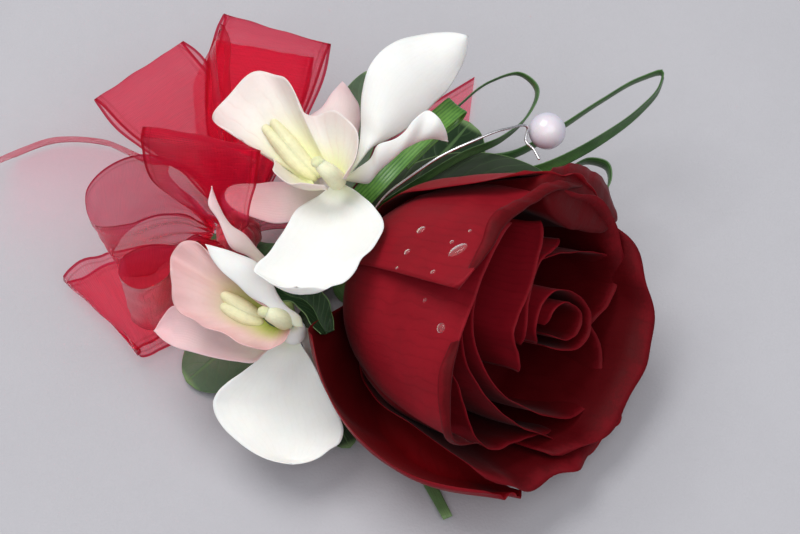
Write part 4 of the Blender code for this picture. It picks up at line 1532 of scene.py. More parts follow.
@dataclass
class Dew:
    """Water drops on the petals; flatness and sunk are shares of a drop's smaller half size."""

    drops: list[Drop]
    flatness: float = 0.42
    sunk: float = 0.25

    def dress(self, studio: "Studio", rose: bpy.types.Object, shift: Array) -> bpy.types.Object | None:
        """Sets each drop on the rose, where the viewer sees it.

        Args:
            studio: gives the line of sight.
            rose: the petals that carry the drops.
            shift: the move from the layout to the part's frame.

        Returns:
            The drops as one piece, or nothing where no petal lies under any.
        """
        tree = BVHTree.FromObject(rose, bpy.context.evaluated_depsgraph_get())
        eye = studio.eye(shift)
        skin = Skin()
        for drop in self.drops:
            place, normal, _, _ = tree.ray_cast(eye, studio.sight(drop.x, drop.y))
            if place is None:
                LOG.info("no petal under the drop at %.0f, %.0f", drop.x, drop.y)
                continue
            normal = np.array(normal)
            down = unit(DRIP - normal * np.dot(DRIP, normal))
            side = np.cross(normal, down)
            c, s = math.cos(math.radians(drop.lean)), math.sin(math.radians(drop.lean))
            down, side = down * c + side * s, side * c - down * s
            skin.bead((0.0, 0.0, 0.0), (1.0, 1.0, 1.0), 14)
            x, y, z = (column[:, None] for column in skin.points[-1].T)
            tall = min(drop.wide, drop.long) * self.flatness
            skin.points[-1] = (np.array(place) / MM - shift + side * x * drop.wide + down * y * drop.long
                               + normal * np.maximum(z, -self.sunk) * tall)
        return skin.make("water_drops", [WATER], shift) if skin.count else None


@dataclass
class Studio:
    """The floor, the light and the camera."""

    elevation: float = 62.0
    distance: float = 520.0
    aim: Point = (0.0, 0.0, 20.0)
    pixel: float = 0.22            # millimetres to a pixel of the image, at the aim
    image: tuple[float, float] = (800.0, 534.0)
    sensor: float = 36.0
    floor: float = 1.5             # half the floor's width, in metres
    daylight: float = 0.36

    def _back(self) -> Vector:
        """The direction from the aim to the camera."""
        angle = math.radians(self.elevation)
        return Vector((0.0, -math.cos(angle), math.sin(angle)))

    def eye(self, shift: Array) -> Vector:
        """Where the camera stands, in metres."""
        return (Vector(self.aim) + Vector(shift)) * MM + self._back() * self.distance * MM

    def sight(self, x: float, y: float) -> Vector:
        """Finds the direction from the camera through a pixel of the image.

        Args:
            x: pixels from the image's left edge.
            y: pixels from its top edge.

        Returns:
            The direction, one long.
        """
        angle = math.radians(self.elevation)
        up = Vector((0.0, math.sin(angle), math.cos(angle)))
        right = Vector((1.0, 0.0, 0.0))
        wide, tall = self.image
        offset = right * (x - wide / 2) * self.pixel + up * (tall / 2 - y) * self.pixel
        return (offset - self._back() * self.distance).normalized()

    def build(self, shift: Array) -> None:
        """Makes the floor, the lights and the camera.

        Args:
            shift: the move from the layout to the part's frame, in millimetres.
        """
        scene = bpy.context.scene
        scene.view_settings.view_transform = "Standard"
        data = bpy.data.cameras.new("viewer")
        data.sensor_width = self.sensor
        data.lens = self.sensor * self.distance / (self.image[0] * self.pixel)
        data.clip_start = 0.01
        camera = bpy.data.objects.new("viewer", data)
        scene.collection.objects.link(camera)
        camera.location = self.eye(shift)
        camera.rotation_euler = self._back().to_track_quat("Z", "Y").to_euler()
        scene.camera = camera
        self._floor()
        self._light("window", (-0.38, 0.38, 1.05), 0.7, 8.6, (1.0, 0.995, 0.98))
        self._light("fill", (-0.25, -0.55, 0.80), 0.7, 1.4, (0.97, 0.98, 1.0))
        self._light("sky", (0.40, -0.30, 0.95), 0.9, 4.2, (0.98, 0.99, 1.0))
        world = bpy.data.worlds.new("room")
        world.use_nodes = True
        background = world.node_tree.nodes["Background"]
        background.inputs[0].default_value = (0.90, 0.91, 0.95, 1.0)
        background.inputs[1].default_value = self.daylight
        scene.world = world

    def _floor(self) -> None:
        """Lays the cloth."""
        mesh, far = bpy.data.meshes.new("cloth_floor"), self.floor
        mesh.from_pydata([(-far, -far, 0), (far, -far, 0), (far, far, 0), (-far, far, 0)], [], [(0, 1, 2, 3)])
        mesh.materials.append(CLOTH.material())
        floor = bpy.data.objects.new("cloth_floor", mesh)
        bpy.context.scene.collection.objects.link(floor)

    def _light(self, name: str, place: Point, size: float, power: float, colour: Colour) -> None:
        """Hangs a soft lamp that faces the corsage.

        Args:
            name: the lamp's name.
            place: where it hangs, in metres.
            size: its width, in metres.
            power: its power, in watts.
            colour: its colour.
        """
        data = bpy.data.lights.new(name, "AREA")
        data.size, data.energy, data.color = size, power, colour
        lamp = bpy.data.objects.new(name, data)
        bpy.context.scene.collection.objects.link(lamp)
        lamp.location = place
        lamp.rotation_euler = Vector(place).to_track_quat("Z", "Y").to_euler()


def the_rose() -> Rose:
    """Sets out the rose's petals, from the heart outwards.

    Returns:
        The rose.
    """
    return Rose([
        RimPetal(
            [(32.5, -19.6, 29.7), (33.1, -16.6, 31.4), (35.2, -14.3, 30.5), (37.8, -13.7, 27.4),
             (39.2, -15.1, 24.2), (38.1, -18.1, 23.3), (35.3, -20.3, 25.3), (33.5, -20.7, 27.5)],
            apart=True, ripple=0.1, lean=0.2, seed=1),
        RimPetal(
            [(30.9, -23.9, 29.8), (29.3, -22.3, 33.3), (29.7, -18.8, 35.7), (31.2, -15.9, 36),
             (33.2, -13.7, 35.1), (36.2, -12.6, 31.8), (38.8, -12.3, 28.5), (41.2, -13.9, 23.7),
             (41.1, -16.7, 21.6), (39.2, -19.7, 21.7), (36.2, -22.2, 23.8), (33.2, -23.3, 27.1)],
            apart=True, ripple=0.15, lean=0.4, seed=2),
        RimPetal(
            [(28.9, -11.8, 41.7), (32.9, -7.9, 39.3), (39.9, -3.8, 33.1), (45.1, -2, 27.4),
             (46.9, -4.4, 22.9), (45.3, -9.7, 20.6), (43, -13.4, 20.8), (42.1, -15.6, 20.2)],
            lean=0.9, seed=3),
        RimPetal(
            [(27.2, -26, 34), (26.7, -22.1, 38), (27.5, -16.8, 41.3), (29.3, -11.6, 43.2), (32.6, -7.6, 42),
             (35.5, -4.6, 40.5)],
            lean=0.3, seed=4),
        RimPetal(
            [(26.8, -31, 31.5), (24.8, -28.7, 36.2), (24, -25.7, 39.7), (25.3, -21.8, 41.1),
             (27.6, -16.4, 42.5), (29.2, -10.6, 45.2), (30.3, -7.6, 46.2), (31.2, -4.6, 47.3)],
            lean=0.6, seed=5),
        RimPetal(
            [(42.4, -14.4, 20.6), (44.3, -16.9, 16), (43.8, -23.3, 11.2), (38.1, -31.8, 12),
             (32, -34.8, 18.1), (24.8, -36, 27.2), (19.5, -34.8, 35.6), (15.8, -30.7, 44.1),
             (15.2, -26.3, 48.6), (16.3, -21.7, 50.9), (18.4, -16.2, 52.6), (21.2, -10.6, 53.5)],
            lean=0.8, seed=6),
        RimPetal(
            [(44.5, -21, 11.4), (45.3, -25.8, 6.1), (41.7, -30.3, 7.3), (36.1, -36.7, 9.9),
             (29.3, -38.4, 17.8), (20.6, -38.4, 30), (16.5, -36.7, 37.2), (13.9, -32.2, 44.5),
             (14.3, -26.9, 48.4)],
            lean=0.9, seed=7),
        RimPetal(
            [(34.6, -35.3, 11.2), (28.3, -38.7, 17.1), (23.4, -42.5, 20.8), (18.6, -45.1, 25.3),
             (14.9, -43.5, 31.8), (13.8, -40.5, 35.8), (11.8, -35.5, 42.8)],
            lean=0.9, seed=8),
        RimPetal(
            [(16.3, -47.1, 31.6), (11.2, -48.7, 37.3), (10.3, -43.6, 42.8), (11.1, -37.4, 46.9),
             (12.6, -31.3, 50), (15.9, -22.7, 52.7), (20.5, -12.3, 54.9), (23, -8.1, 54.9)],
            turned=[(16.4, -45.8, 28.7), (9.8, -48.6, 35.6), (7.7, -43.6, 42.6), (8.2, -37.5, 47),
                    (11.2, -30.7, 48.7), (14.2, -23, 50.9), (19.7, -11.6, 52.7), (23.1, -6.6, 52.2)],
            belly=25.3, ripple=0.15, seed=9),
        RimPetal(
            [(12.3, -26.5, 60.3), (14.6, -23.4, 60.3), (18.1, -17.8, 60), (21.7, -12, 59.9),
             (25.8, -7.1, 58.1), (30.1, -2.4, 55.1), (35.7, 2.5, 49.8), (40.8, 6.2, 44.2)],
            turned=[(11.9, -25.4, 57.9), (13.8, -21.2, 59.4), (16.1, -16, 60.6), (19, -9.9, 61.6),
                    (22.6, -6.1, 59.4), (27.4, -1.3, 56), (31.9, 3.5, 52.2), (36.1, 6.5, 46.8)],
            belly=26.8, ripple=0.2, narrow=0.8, seed=10),
        RimPetal(
            [(30.7, 2.7, 54.2), (30.4, -1.2, 54), (31.6, -3.8, 51.4), (34.9, -4.2, 46.3), (39.9, -2.2, 40),
             (44.2, 0.6, 35), (46.4, 3, 32)],
            turned=[(32, 6.8, 51.4), (35.9, 9.8, 48), (41.1, 12, 41.7), (44.9, 11.6, 35.4), (46.2, 9.6, 32.2),
                    (46.9, 7.8, 30.8), (47.2, 6.2, 30.4)],
            belly=25, ripple=0.15, lean=0.2, seed=12),
        RosePetal(116, 104, 46, 26.2, 27, roll=60, roll_radius=5, spiral=0.8, narrow=0.85, ripple=0.5),
        RosePetal(-172, 126, 49.5, 26.5, 29.2, roll=52, roll_radius=6.5, narrow=0.85, ripple=0.7),
        RosePetal(
            -120, 104, 47, 27.5, 32, roll=45, roll_radius=6, spiral=1, narrow=0.8, ripple=0.8, peak=1.8),
        RosePetal(-94, 146, 48.5, 38.5, 37, outline=0.75, narrow=0.12),
        RosePetal(100, 92, 46.5, 28.8, 31.5, roll=20, roll_radius=5, outline=2.6, narrow=0.6),
        RosePetal(-150, 110, 47, 29.5, 35, roll=35, roll_radius=5, outline=2.6, narrow=0.5, peak=1.2),
    ])


def the_orchids() -> list[Orchid]:
    """Sets out the petals, lips and columns of the two orchids.

    Returns:
        The upper orchid and the lower one.
    """
    upper = Orchid(
        "orchid_upper", UPPER_HUB,
        [
            Traced(
                [(-11.6, 11.6, 39.4), (-9.6, 15.7, 39.2), (-8.8, 19.4, 39.6), (-8.6, 22.5, 40),
                 (-8.4, 26.7, 43.4), (-8, 29.7, 45.7), (-6.7, 34, 48.3), (-4.2, 37.3, 49.2),
                 (-0.8, 40.2, 48.9), (3.9, 42.7, 47.4), (8.1, 44, 46.5), (12.4, 44.2, 46), (14.9, 43.4, 46)],
                [(-11, 11.3, 38.7), (-10.4, 12.5, 39.3), (-8.5, 15.2, 40.1), (-6.2, 18, 40.7),
                 (-2.7, 20.5, 40.2), (0.8, 23.1, 39.7), (3.9, 25.8, 39.7), (7, 29.2, 40.2),
                 (10.2, 32.6, 40.6), (12.5, 36.3, 42), (14.1, 39.2, 43.2), (14.8, 41.9, 44.8),
                 (14.9, 43.4, 46)],
                bulge=1.8, ruffle=0.25),
            Traced(
                [(-12.7, 9.7, 39.7), (-14.6, 9, 40), (-16.8, 6.6, 41.1), (-19.8, 3.7, 42.4),
                 (-21.9, 0.9, 43.4), (-23.6, -2.8, 44.8), (-25.4, -6.8, 45.8), (-27.5, -10.9, 46.3),
                 (-29.7, -13.3, 46.1), (-30.3, -15, 46), (-28.8, -16.2, 46.1), (-26.6, -17.5, 46.2),
                 (-23.6, -18.4, 46.2), (-21.3, -18.6, 46.1)],
                [(-11.8, 9.3, 40), (-9.9, 7.6, 41), (-7.6, 4.5, 42.5), (-5.3, 1.7, 43.6), (-3.8, -0.9, 44.4),
                 (-3.4, -3.9, 45.1), (-4.5, -7.3, 45.9), (-6, -10.1, 46.3), (-8, -12.3, 46.5),
                 (-9.2, -14.7, 46.3), (-11.8, -17.2, 45.9), (-14.1, -18.2, 45.8), (-15.3, -19, 45.6),
                 (-17.4, -18.7, 45.9), (-21.3, -18.6, 46.1)],
                bulge=2.2, ruffle=0.3, seed=1),
            Traced(
                [(-11.6, 10.9, 40.6), (-9, 12.1, 42.5), (-6.1, 13.4, 44.6), (-4.5, 14.7, 47.6),
                 (-1.1, 15.8, 48.7), (1.1, 16.7, 50.1), (3, 18.4, 51.8), (6.1, 20.6, 51.8), (7.9, 19.3, 51.8),
                 (9.5, 18.3, 49), (10.3, 17.2, 44.9)],
                [(-11.8, 10.6, 39.9), (-9.3, 10.7, 38.6), (-6.9, 11, 37.8), (-5.8, 11.7, 39.2),
                 (-2.7, 13.4, 42.3), (0, 14.8, 44.6), (3, 16, 46.3), (7.6, 17, 46.2), (10.3, 17.2, 44.9)],
                bulge=1.4, ruffle=0.2, seed=2),
            Traced(
                [(-15.2, 18.9, 38.5), (-18.7, 22.2, 39.4), (-19.8, 26.4, 39.5), (-17.2, 29.7, 38.5),
                 (-15, 34.1, 37.5), (-12.8, 37.6, 36.7)],
                [(-10.9, 18.4, 37.1), (-9.2, 24, 36.3), (-8.8, 29.9, 35.9), (-9.8, 33.6, 36),
                 (-11.5, 36.1, 36.4), (-12.8, 37.6, 36.7)],
                bulge=1.2, ruffle=0.2, seed=3),
            Strip(
                [UPPER_HUB, (-20.5, 8.8, 35.8), (-24.8, 8.8, 33.4), (-28.6, 10.2, 31), (-33.8, 12.4, 28.6),
                 (-38.6, 14.6, 27.2)],
                [(0, 0.85, 0.53)], [1.8, 3.8, 4.6, 3.6, 3], cup=0.3, tip=0.75),
        ],
        (3, 4),
        Scoop(
            [(-11.7, 6.3, 45.6), (-13.2, 8.9, 44.3), (-15.8, 10.4, 43.5), (-18.4, 9.1, 43.5),
             (-17.9, 6.5, 44.1), (-15.3, 5.1, 45.1)],
            [(-12, 5.9, 48.1), (-9.3, 8.9, 52.1), (-8.9, 13.2, 53.1), (-10.6, 17.6, 53.1), (-14, 20.2, 52.1),
             (-17.9, 20.5, 50.1), (-21.1, 21.6, 51.1), (-22.6, 25.2, 52.1), (-25.8, 30.2, 51.1),
             (-29.8, 32.5, 49.1), (-34.6, 30.4, 47.1), (-38.7, 26.5, 45.6), (-40.2, 23.4, 44.3),
             (-37.2, 21, 42.7), (-32.8, 19.6, 40.4), (-27.8, 15.4, 42), (-26.9, 9.2, 47.8),
             (-25.9, 5.6, 50.6), (-23.1, 3.6, 51.1), (-19.9, 3.4, 50.6), (-15.8, 3.8, 49.1)],
            [0, 3, 3, 1, 2, 2.5, 2, 2.5, 4, 3, 0]),
        UPPER_LIP_TINT, [(-13.4, 8, 43.2), (-13.7, 6.6, 47.5), (-15.4, 6.9, 50.3), (-17.5, 8.5, 50.5)],
        (-17.2, 8.3, 51.2),
        [[(-17, 9.2, 44.6), (-20.6, 13.2, 45.6), (-24.4, 18, 47), (-27.6, 22.4, 47.8)],
         [(-17.8, 8.4, 44.6), (-22, 12.4, 45.4), (-26.2, 17.4, 46.4), (-29.4, 21.6, 46.8)]])
    lower = Orchid(
        "orchid_lower", LOWER_HUB,
        [
            Traced(
                [(-23.6, -17.8, 26), (-24, -19.1, 25.4), (-25.7, -21, 24.7), (-28.3, -22.4, 24),
                 (-30.9, -24.4, 22.7), (-33.9, -26.3, 21.3), (-37.2, -28, 19.6), (-39.2, -29.5, 18.2),
                 (-40.2, -31.4, 16.9), (-39.9, -33.2, 16.1), (-38.2, -36.1, 15.2), (-35.2, -39, 14.4),
                 (-32.2, -41.2, 13.8), (-28.6, -42.8, 13.1), (-25.4, -43.5, 12.6), (-23.1, -43.7, 12.2)],
                [(-22.7, -17.7, 26), (-22.1, -19.1, 25.3), (-21.3, -20.8, 24.3), (-19.1, -23.8, 22.4),
                 (-17.2, -26.9, 20.3), (-14.9, -30.6, 17.4), (-13, -33.7, 14.8), (-12.2, -36.4, 12.8),
                 (-13, -38.6, 11.9), (-14.9, -40, 12), (-17.5, -42.1, 11.8), (-20.2, -43.2, 11.9),
                 (-23.1, -43.7, 12.2)],
                bulge=2, ruffle=0.3, seed=4),
            Traced(
                [(-22, -20.2, 31), (-25.4, -18.9, 32.9), (-28.5, -17, 35), (-31.7, -15.8, 36.8),
                 (-34.5, -13.9, 38.8), (-37.4, -12.1, 40.7), (-39.6, -9.5, 42.7), (-40.8, -7.4, 44)],
                [(-20.6, -20, 30.4), (-21, -18.3, 31.3), (-23.8, -16.6, 33.1), (-26, -14.2, 35),
                 (-27.9, -11, 37), (-30.8, -8.7, 39.2), (-34.6, -7.9, 41.1), (-38.7, -7.5, 43.1),
                 (-40.8, -7.4, 44)],
                bulge=1.2, ruffle=0.2, seed=5),
            Traced(
                [(-28.8, -7, 29.5), (-32.1, -4.7, 32.9), (-36.1, -3.9, 36.5), (-38.7, 0.6, 40.1),
                 (-40.6, 3.2, 42.5), (-40.1, 7.1, 43.3)],
                [(-27, -5.7, 28.4), (-29.6, -2.9, 31.4), (-31.4, -1.7, 33.3), (-33.3, -0.2, 35.3),
                 (-35.9, 0.6, 37.7), (-38.4, 3.3, 40.7), (-40.1, 7.1, 43.3)],
                bulge=0.8, ruffle=0.15, seed=6),
            Traced(
                [(-24.9, -18.2, 25.5), (-32.2, -18.5, 24.5), (-39.8, -15.6, 24.1), (-45.4, -12.7, 24),
                 (-48.8, -11.4, 23.5), (-51.8, -13.2, 21.3), (-53.4, -15.6, 19.8)],
                [(-24.9, -19.8, 24.9), (-28.7, -22.7, 23.9), (-30.9, -24.8, 23.5), (-35.2, -24.4, 23),
                 (-40.5, -23, 22.1), (-45.3, -21.2, 21.2), (-48, -20.1, 20.6), (-50.8, -18.2, 20),
                 (-53.4, -15.6, 19.8)],
                bulge=1.5, ruffle=0.25, seed=7),
            Traced(
                [(-22.1, -17.8, 25.6), (-20.9, -20.4, 22.2), (-19.4, -22.8, 19.2), (-17.7, -24.8, 16.6),
                 (-15.4, -25.4, 14.7), (-13.7, -25.4, 13.7)],
                [(-20.8, -17.3, 25), (-18.5, -17.1, 22.8), (-16.5, -18.5, 19.7), (-15, -21.5, 16.5),
                 (-14.1, -23.5, 14.7), (-13.7, -25.4, 13.7)],
                bulge=0.8, ruffle=0.15, seed=8),
        ],
        (2, 3),
        Scoop(
            [(-22.7, -18.2, 30.4), (-25.4, -16.4, 30), (-28.2, -15.6, 29.4), (-29.3, -16.8, 29),
             (-27.3, -19.1, 29), (-23.8, -19.9, 29.6)],
            [(-23.3, -19.4, 32), (-26.2, -18.2, 33.6), (-29.5, -16.6, 35.4), (-33.1, -14, 36.4),
             (-37.2, -10, 37), (-40.8, -5.4, 36.6), (-43.8, -2.2, 36), (-46.6, -2.6, 35), (-49.2, -4.1, 34.5),
             (-48.6, -8, 34.5), (-48.9, -10.8, 34), (-48.2, -14.3, 32.5), (-46, -17.7, 31.5),
             (-42.7, -19.5, 30.5), (-38.1, -21.2, 31), (-34.6, -24.3, 32), (-31.1, -25.9, 32.5),
             (-27.8, -25.9, 32), (-24.9, -24, 31), (-23.1, -20.7, 30.4)],
            [0, 2, 2, 2, 2, 2, 1.5, 1.5, 2, 2, 0]),
        LOWER_LIP_TINT, [(-23.6, -18.4, 29.2), (-24.4, -18.8, 31), (-26.4, -18.7, 33.2), (-28.8, -17.9, 33)],
        (-28.6, -18, 33.8),
        [[(-29.2, -17.2, 30.2), (-32.4, -15.6, 31.4), (-35.6, -13.8, 32.6), (-38.2, -12.2, 33.4)],
         [(-29, -18.2, 30), (-32.4, -17.2, 30.8), (-35.8, -15.8, 31.8), (-38.4, -14.6, 32.6)]])
    return [upper, lower]


def folded(*halves: float) -> list[float]:
    """A loop's half widths, from the knot out to its fold and back again."""
    return [*halves, *halves[-2::-1]]


def ribbon(spine: Sequence, sides: Sequence, halves: Sequence[float], **more: float) -> Strip:
    """A length of the bow's ribbon, gathered where it is narrow and a little crinkled."""
    return Strip(spine, sides, halves, **{"pleat": 1.1, "crinkle": 0.12, **more})


def the_bow() -> Bow:
    """Sets out the bow's loops and tails.

    Returns:
        The bow.
    """
    strips = {
        "left_loop": ribbon(
            [(-37.5, 15, 18), (-42, 25, 24.6), (-49.4, 35.4, 27), (-57.2, 44.8, 27.8), (-59.3, 47.2, 26.3),
             (-57.6, 45.2, 24.8), (-49.8, 35.8, 23.8), (-42.2, 25.4, 21.6), (-37.5, 15, 16.4)],
            [(0.776, 0.631, 0)], folded(3, 5.4, 10, 12.5, 12.5)),
        "top_loop": ribbon(
            [(-36, 14.5, 17), (-34.5, 26, 24.5), (-31.8, 41, 28), (-28.9, 55.5, 27.8), (-28.2, 58.8, 25.4),
             (-28.9, 55.5, 23), (-31.8, 41, 22.6), (-34.5, 26, 20), (-36, 14.8, 16)],
            [(0.94, -0.336, 0)], folded(3, 7.5, 11, 12.8, 13), seed=1),
        "inner_top_loop": ribbon(
            [(-36, 14.5, 16.6), (-35, 26, 23), (-33.2, 39, 26.4), (-31.6, 51, 26.6), (-31.2, 53.6, 25.4),
             (-31.6, 51, 24.2), (-33.2, 39, 24.2), (-35, 26, 21.4), (-36, 14.8, 16.2)],
            [(0.97, -0.24, 0)], folded(2.6, 6.5, 9.8, 11.6, 11.8), seed=2),
        "side_loop": ribbon(
            [(-37.5, 14.5, 16), (-40, 28, 20), (-41.4, 43, 23), (-41.8, 52.6, 24), (-42.8, 54.6, 24.2),
             (-44, 52.6, 24.4), (-44, 43, 22.6), (-42, 28, 19), (-37.8, 14.8, 15.4)],
            [(0.3, -0.1, 0.95)], folded(2.6, 7.5, 11.5, 11.2, 10.4), seed=3, pleat=0.3),
        "long_tail": ribbon(
            [(-38.4, 15.4, 14), (-43, 24.4, 12.6), (-50, 30.2, 12.6), (-58, 32.6, 12.6), (-68, 37.2, 12.4),
             (-79, 38, 12.3), (-90, 33.6, 12.2), (-101, 27, 12.2)],
            [(0.07, -0.49, 0.87), (0.08, -0.5, 0.86), (0.09, -0.5, 0.86), (0.105, -0.5, 0.86),
             (0.12, -0.51, 0.85), (0.14, -0.51, 0.85), (0.16, -0.5, 0.85), (0.18, -0.49, 0.85)],
            [2.6, 4.6, 8.6, 11.8, 12.4, 12.4, 12.4, 12.4], slant=0.2, cup=0.22, seed=4),
        "short_tail": ribbon(
            [(-35, 15, 12.5), (-30.4, 21, 6.4), (-20, 25.6, 1.5), (-5, 31, 0.9), (10, 41, 0.9),
             (25, 51.4, 1)],
            [(0.2, 0.9, 0.3), (-0.5, 0.86, 0), (-0.65, 0.76, 0)], [2.6, 4.6, 9, 12.5, 12.5, 12.5], slant=0.3,
            seed=5),
    }
    loops = {
        "ribbon_front_loop": ribbon(
            [knot_seat(-0.1, -0.3, 1), (-41, 6.8, 34.6), (-42.2, 8.3, 40.2), (-42.6, 11.8, 45.6),
             (-42.2, 15, 48.8), (-42, 16.7, 48), (-42.4, 17.8, 43.8), (-42.2, 19.8, 35.6), (-40, 19.2, 27.4),
             knot_seat(-0.15, 0.6, 0.85)],
            [(0.95, -0.28, 0.08), (0.95, -0.28, 0.08), (0.95, -0.25, 0), (0.95, -0.2, -0.1),
             (0.96, -0.06, -0.25), (0.96, -0.06, -0.25), (0.96, -0.06, -0.2), (0.95, -0.15, -0.1),
             (0.95, -0.28, 0.08), (0.95, -0.28, 0.08)],
            [2, 6.6, 9.2, 12, 12.7, 12.7, 12.2, 10.2, 6.5, 2], cup=-0.2, seed=6),
        "ribbon_round_loop": ribbon(
            [knot_seat(-0.97, 0.3, 0), (-46.4, 18.2, 14.2), (-54, 21.8, 14.4), (-62, 18, 18.2),
             (-66.3, 9.8, 20.8), (-64, 3.4, 21.6), (-58, 3.2, 21.8), (-52, 6, 21), (-46.5, 8.6, 18),
             knot_seat(-1, -0.15, 0.1)],
            [(-0.17, 0, 0.98)], [2, 7, 11.5, 12.5, 12.5, 11.8, 11.5, 10.5, 6.5, 2], seed=7),
        "ribbon_curl": ribbon(
            [knot_seat(-0.8, -0.6, 0.15), (-45.5, 4.2, 18), (-50, 0.4, 20), (-55, -0.8, 20.8),
             (-59.4, -3.4, 20.8), (-59.8, -8, 20.8), (-55.6, -11, 20.8), (-50.6, -9, 20.8),
             (-48.2, -4.8, 20.4), (-45.4, 0, 18.2), knot_seat(-0.6, -0.85, 0.15)],
            [(0, -0.1, 0.99)], folded(2, 7, 11, 12.3, 12.3, 12.3), seed=8),
        "ribbon_lower_loop": ribbon(
            [knot_seat(-0.8, -0.38, -0.47), (-47, 5.6, 7.6), (-54.5, 2.8, 6.2), (-61, -0.6, 6.6),
             (-65.6, -2.9, 6.2), (-67.2, -3.8, 4.2), (-65.6, -2.9, 2.2), (-60, 0, 1.3), (-53, 3.2, 1.4),
             (-47, 4.4, 3.2), knot_seat(-0.5, -0.66, -0.56)],
            [(0.727, -0.686, 0)], folded(2, 5, 9.4, 12.2, 13, 13), seed=9),
    }
    return Bow(strips, loops)


def the_foliage() -> Foliage:
    """Sets out the leaves and the grass.

    Returns:
        The foliage.
    """
    leaves = {
        "leaf_left": Strip(
            [handle_seat(0.5, 120), (-30.5, -3.5, 3.4), (-36, -9.6, 3.8), (-42, -14.8, 3.2),
             (-47.6, -19.2, 1.4)],
            [(0.6, -0.8, 0)], [1.2, 5, 8, 8.6, 7.8, 6], cup=0.3, tip=0.78),
        "leaf_front": Strip(
            [handle_seat(0.16, 115), (-19.6, -7, 4.8), (-18.4, -16, 4.4), (-15.6, -25.5, 3), (-11, -35, 1)],
            [(0.95, 0.25, 0)], [1.2, 4.6, 6.2, 6, 5, 3.8], cup=0.3, tip=0.75),
        "leaf_back": Strip(
            [handle_seat(0.34, -62), (-19, 22, 9.4), (-14.5, 32, 10.4), (-10.4, 44, 11), (-6.4, 56.6, 11.6)],
            [(0.96, -0.28, 0)], [1.2, 4.4, 6.6, 6.8, 5.4, 4], cup=0.35, tip=0.7),
        "leaf_round": Strip(
            [handle_seat(0.1, -84), (-7.4, 19.5, 6), (2.5, 28.5, 6.6), (10.5, 37.5, 6.6), (16.5, 46, 5.6)],
            [(0.75, -0.66, 0)], [1.2, 5.4, 9.4, 10.6, 9.4, 7], cup=0.3, tip=0.78),
        "leaf_long": Strip(
            [handle_seat(0.03, -30), (-5, 14.4, 15.4), (7, 20.6, 18.6), (19.5, 23.6, 19.4),
             (33.5, 22.6, 19.6)],
            [(-0.3, 0.8, 0.5)], [1.2, 4.6, 6.8, 6.6, 4.8, 3.4], cup=0.4, tip=0.7),
        "leaf_curled": Traced(
            [(-16.9, -20, 27.2), (-19.1, -18.1, 27.9), (-21.3, -14.6, 28.7), (-23.2, -13.5, 29.4),
             (-26.1, -13.5, 30.4), (-27.8, -11.7, 31), (-27.8, -9.2, 31), (-26.6, -7.8, 30.6)],
            [(-14.1, -18.6, 26.2), (-14.4, -15, 26.3), (-15.5, -11.6, 26.6), (-17.7, -9.1, 27.4),
             (-21.5, -8.1, 28.8), (-24.1, -7.8, 29.6), (-26.6, -7.8, 30.6)],
            bulge=-1.6, ruffle=0.3, fold=0.6),
    }
    grasses = {
        "grass_near_loop": Strip(
            [handle_seat(0.19, -22), (-8, 21.4, 17), (4, 32.5, 18.4), (12.6, 41, 19.5), (20.5, 46.4, 22.5),
             (27, 47.2, 24.5), (30.8, 42.5, 25.5), (28.6, 36, 24.8), (23, 30.6, 24.4), (14, 25.6, 25.2),
             (3, 18.6, 24), (-6, 13.4, 21), (-10, 12, 18.4)],
            [(0.45, 0.3, 0.85), (0.3, 0.1, 0.9), (0.2, -0.4, 0.85), (0.3, 0.35, 0.88), (0.1, 0.5, 0.85)],
            [1.2, 1.4, 1.4, 1.4, 1.2], cup=0.4),
        "grass_far_loop": Strip(
            [handle_seat(0.27, -48), (-9, 23.4, 13.2), (8, 30.4, 13), (27, 32.6, 14), (36.5, 37.2, 17),
             (46, 42.4, 20.5), (55, 46.8, 23), (59.6, 47.6, 24.2), (58.8, 43.6, 25), (54, 37.4, 25),
             (46, 31.4, 23.5), (34, 26.2, 19.6), (20, 24.6, 14.6), (6, 20.6, 11), (-2, 17.2, 9.8)],
            [(0.2, 0.45, 0.87), (0.1, 0.4, 0.9), (0, -0.2, 0.95), (-0.2, 0.5, 0.85), (-0.1, 0.55, 0.83)],
            [1.2, 1.4, 1.4, 1.4, 1.2], cup=0.4),
        "grass_short_loop": Strip(
            [handle_seat(0.1, -48), (2, 14.2, 9.6), (20, 19.4, 11.2), (36, 25.4, 16), (43, 27.8, 18),
             (46.4, 26, 19), (46.6, 21, 19), (42, 17, 17)],
            [(0.1, -0.4, 0.9), (0.1, -0.6, 0.8), (0.1, 0.2, 0.95)], [1.2, 1.8, 2.1, 2.1, 1.8], cup=0.4),
        "grass_blade": Strip(
            [handle_seat(0.08, 8), (-13, 8, 20), (-10.2, 8.8, 31), (-6, 11.6, 35.2), (2, 20.6, 36.6),
             (9, 28.4, 36), (12.6, 32.4, 34.6), (12, 32, 33), (7, 27, 33), (0, 19, 33)],
            [(0.5, -0.8, 0.1), (0.7, -0.6, -0.1), (0.75, -0.66, -0.1)], [1.4, 2.4, 2.6, 2.6, 2.6, 2.4],
            cup=0.25),
    }
    return Foliage(leaves, grasses)


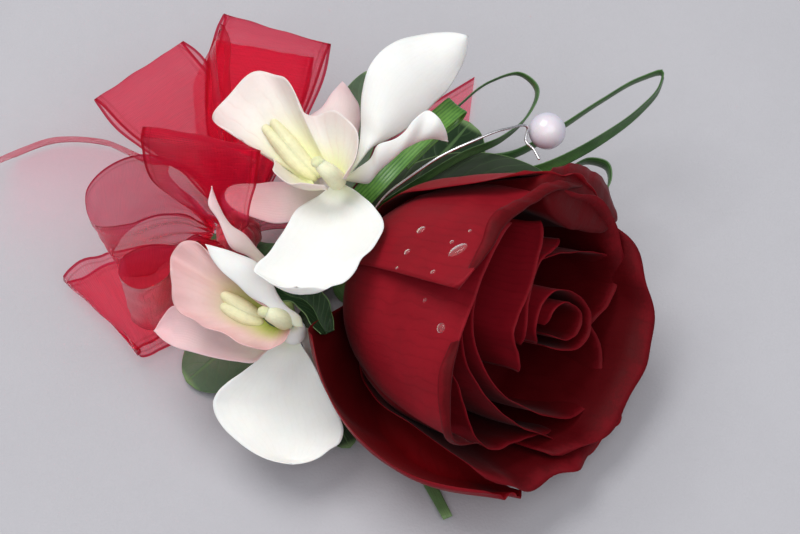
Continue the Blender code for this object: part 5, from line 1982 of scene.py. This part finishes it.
def the_stems() -> Stems:
    """Sets out the pedicels of the taped stems.

    Returns:
        The stems.
    """
    return Stems([[
                      (-21, 7, 6),
                      (-20, 9.4, 15),
                      (-17.2, 11, 27),
                      tuple(np.array(UPPER_HUB) - unit((0.9, 0.1, 3.0)) * (HUB_RADIUS + 0.9)),
                  ],
                  [
                      (-26, 7.6, 6),
                      (-26, -1, 10),
                      (-24.5, -10.5, 16),
                      tuple(np.array(LOWER_HUB) - unit((0.2, -2.0, 2.6)) * (HUB_RADIUS + 1.0)),
                  ]])


def the_pearl() -> PearlSpray:
    """Sets out the route of the pearl's wire.

    Returns:
        The pearl and its wire.
    """
    return PearlSpray([handle_seat(0.04, 30), (-12.6, 3.6, 20), (-7.6, 4.2, 32), (-2.8, 6.4, 41),
                       (2.5, 7.8, 46.6), (8, 10, 50.2), (14.7, 12.8, 51.8), (22.6, 16.8, 50.8),
                       (27.2, 18.6, 48.2), (26.8, 16.4, 46.6), (28.4, 14, 47), (29.6, 11.4, 47)])


def the_dew() -> Dew:
    """Sets out the drops on the rose.

    Returns:
        The drops.
    """
    return Dew([Drop(458, 250, 1.3, 2.2, 10), Drop(421, 230, 0.9, 1.1), Drop(407, 252, 0.7, 0.8),
                Drop(441, 328, 1, 1.1), Drop(452, 242, 0.5, 0.5), Drop(433, 272, 0.5, 0.6),
                Drop(470, 231, 0.4, 0.4), Drop(397, 268, 0.4, 0.4), Drop(425, 300, 0.4, 0.5)])


def main() -> None:
    """Builds the corsage and its studio, in order."""
    logging.basicConfig(level=logging.INFO, format="%(message)s")
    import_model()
    low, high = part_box("pearl")
    shift = np.array((low + high) / 2) / MM - np.array(PEARL)
    studio = Studio()
    studio.build(shift)
    rose = the_rose()
    bloom = rose.bloom(shift)
    pieces = [bloom, rose.hip(shift)]
    for orchid in the_orchids():
        pieces += [orchid.bloom(shift), orchid.throat(shift)]
    pieces += the_bow().dress(shift)
    pieces += the_foliage().dress(shift)
    pieces.append(the_stems().dress(shift))
    pieces += the_pearl().dress(shift)
    drops = the_dew().dress(studio, bloom, shift)
    if drops:
        pieces.append(drops)
    for piece in pieces:
        LOG.info("%s: %d faces", piece.name, len(piece.data.polygons))


if __name__ == "__main__":
    main()
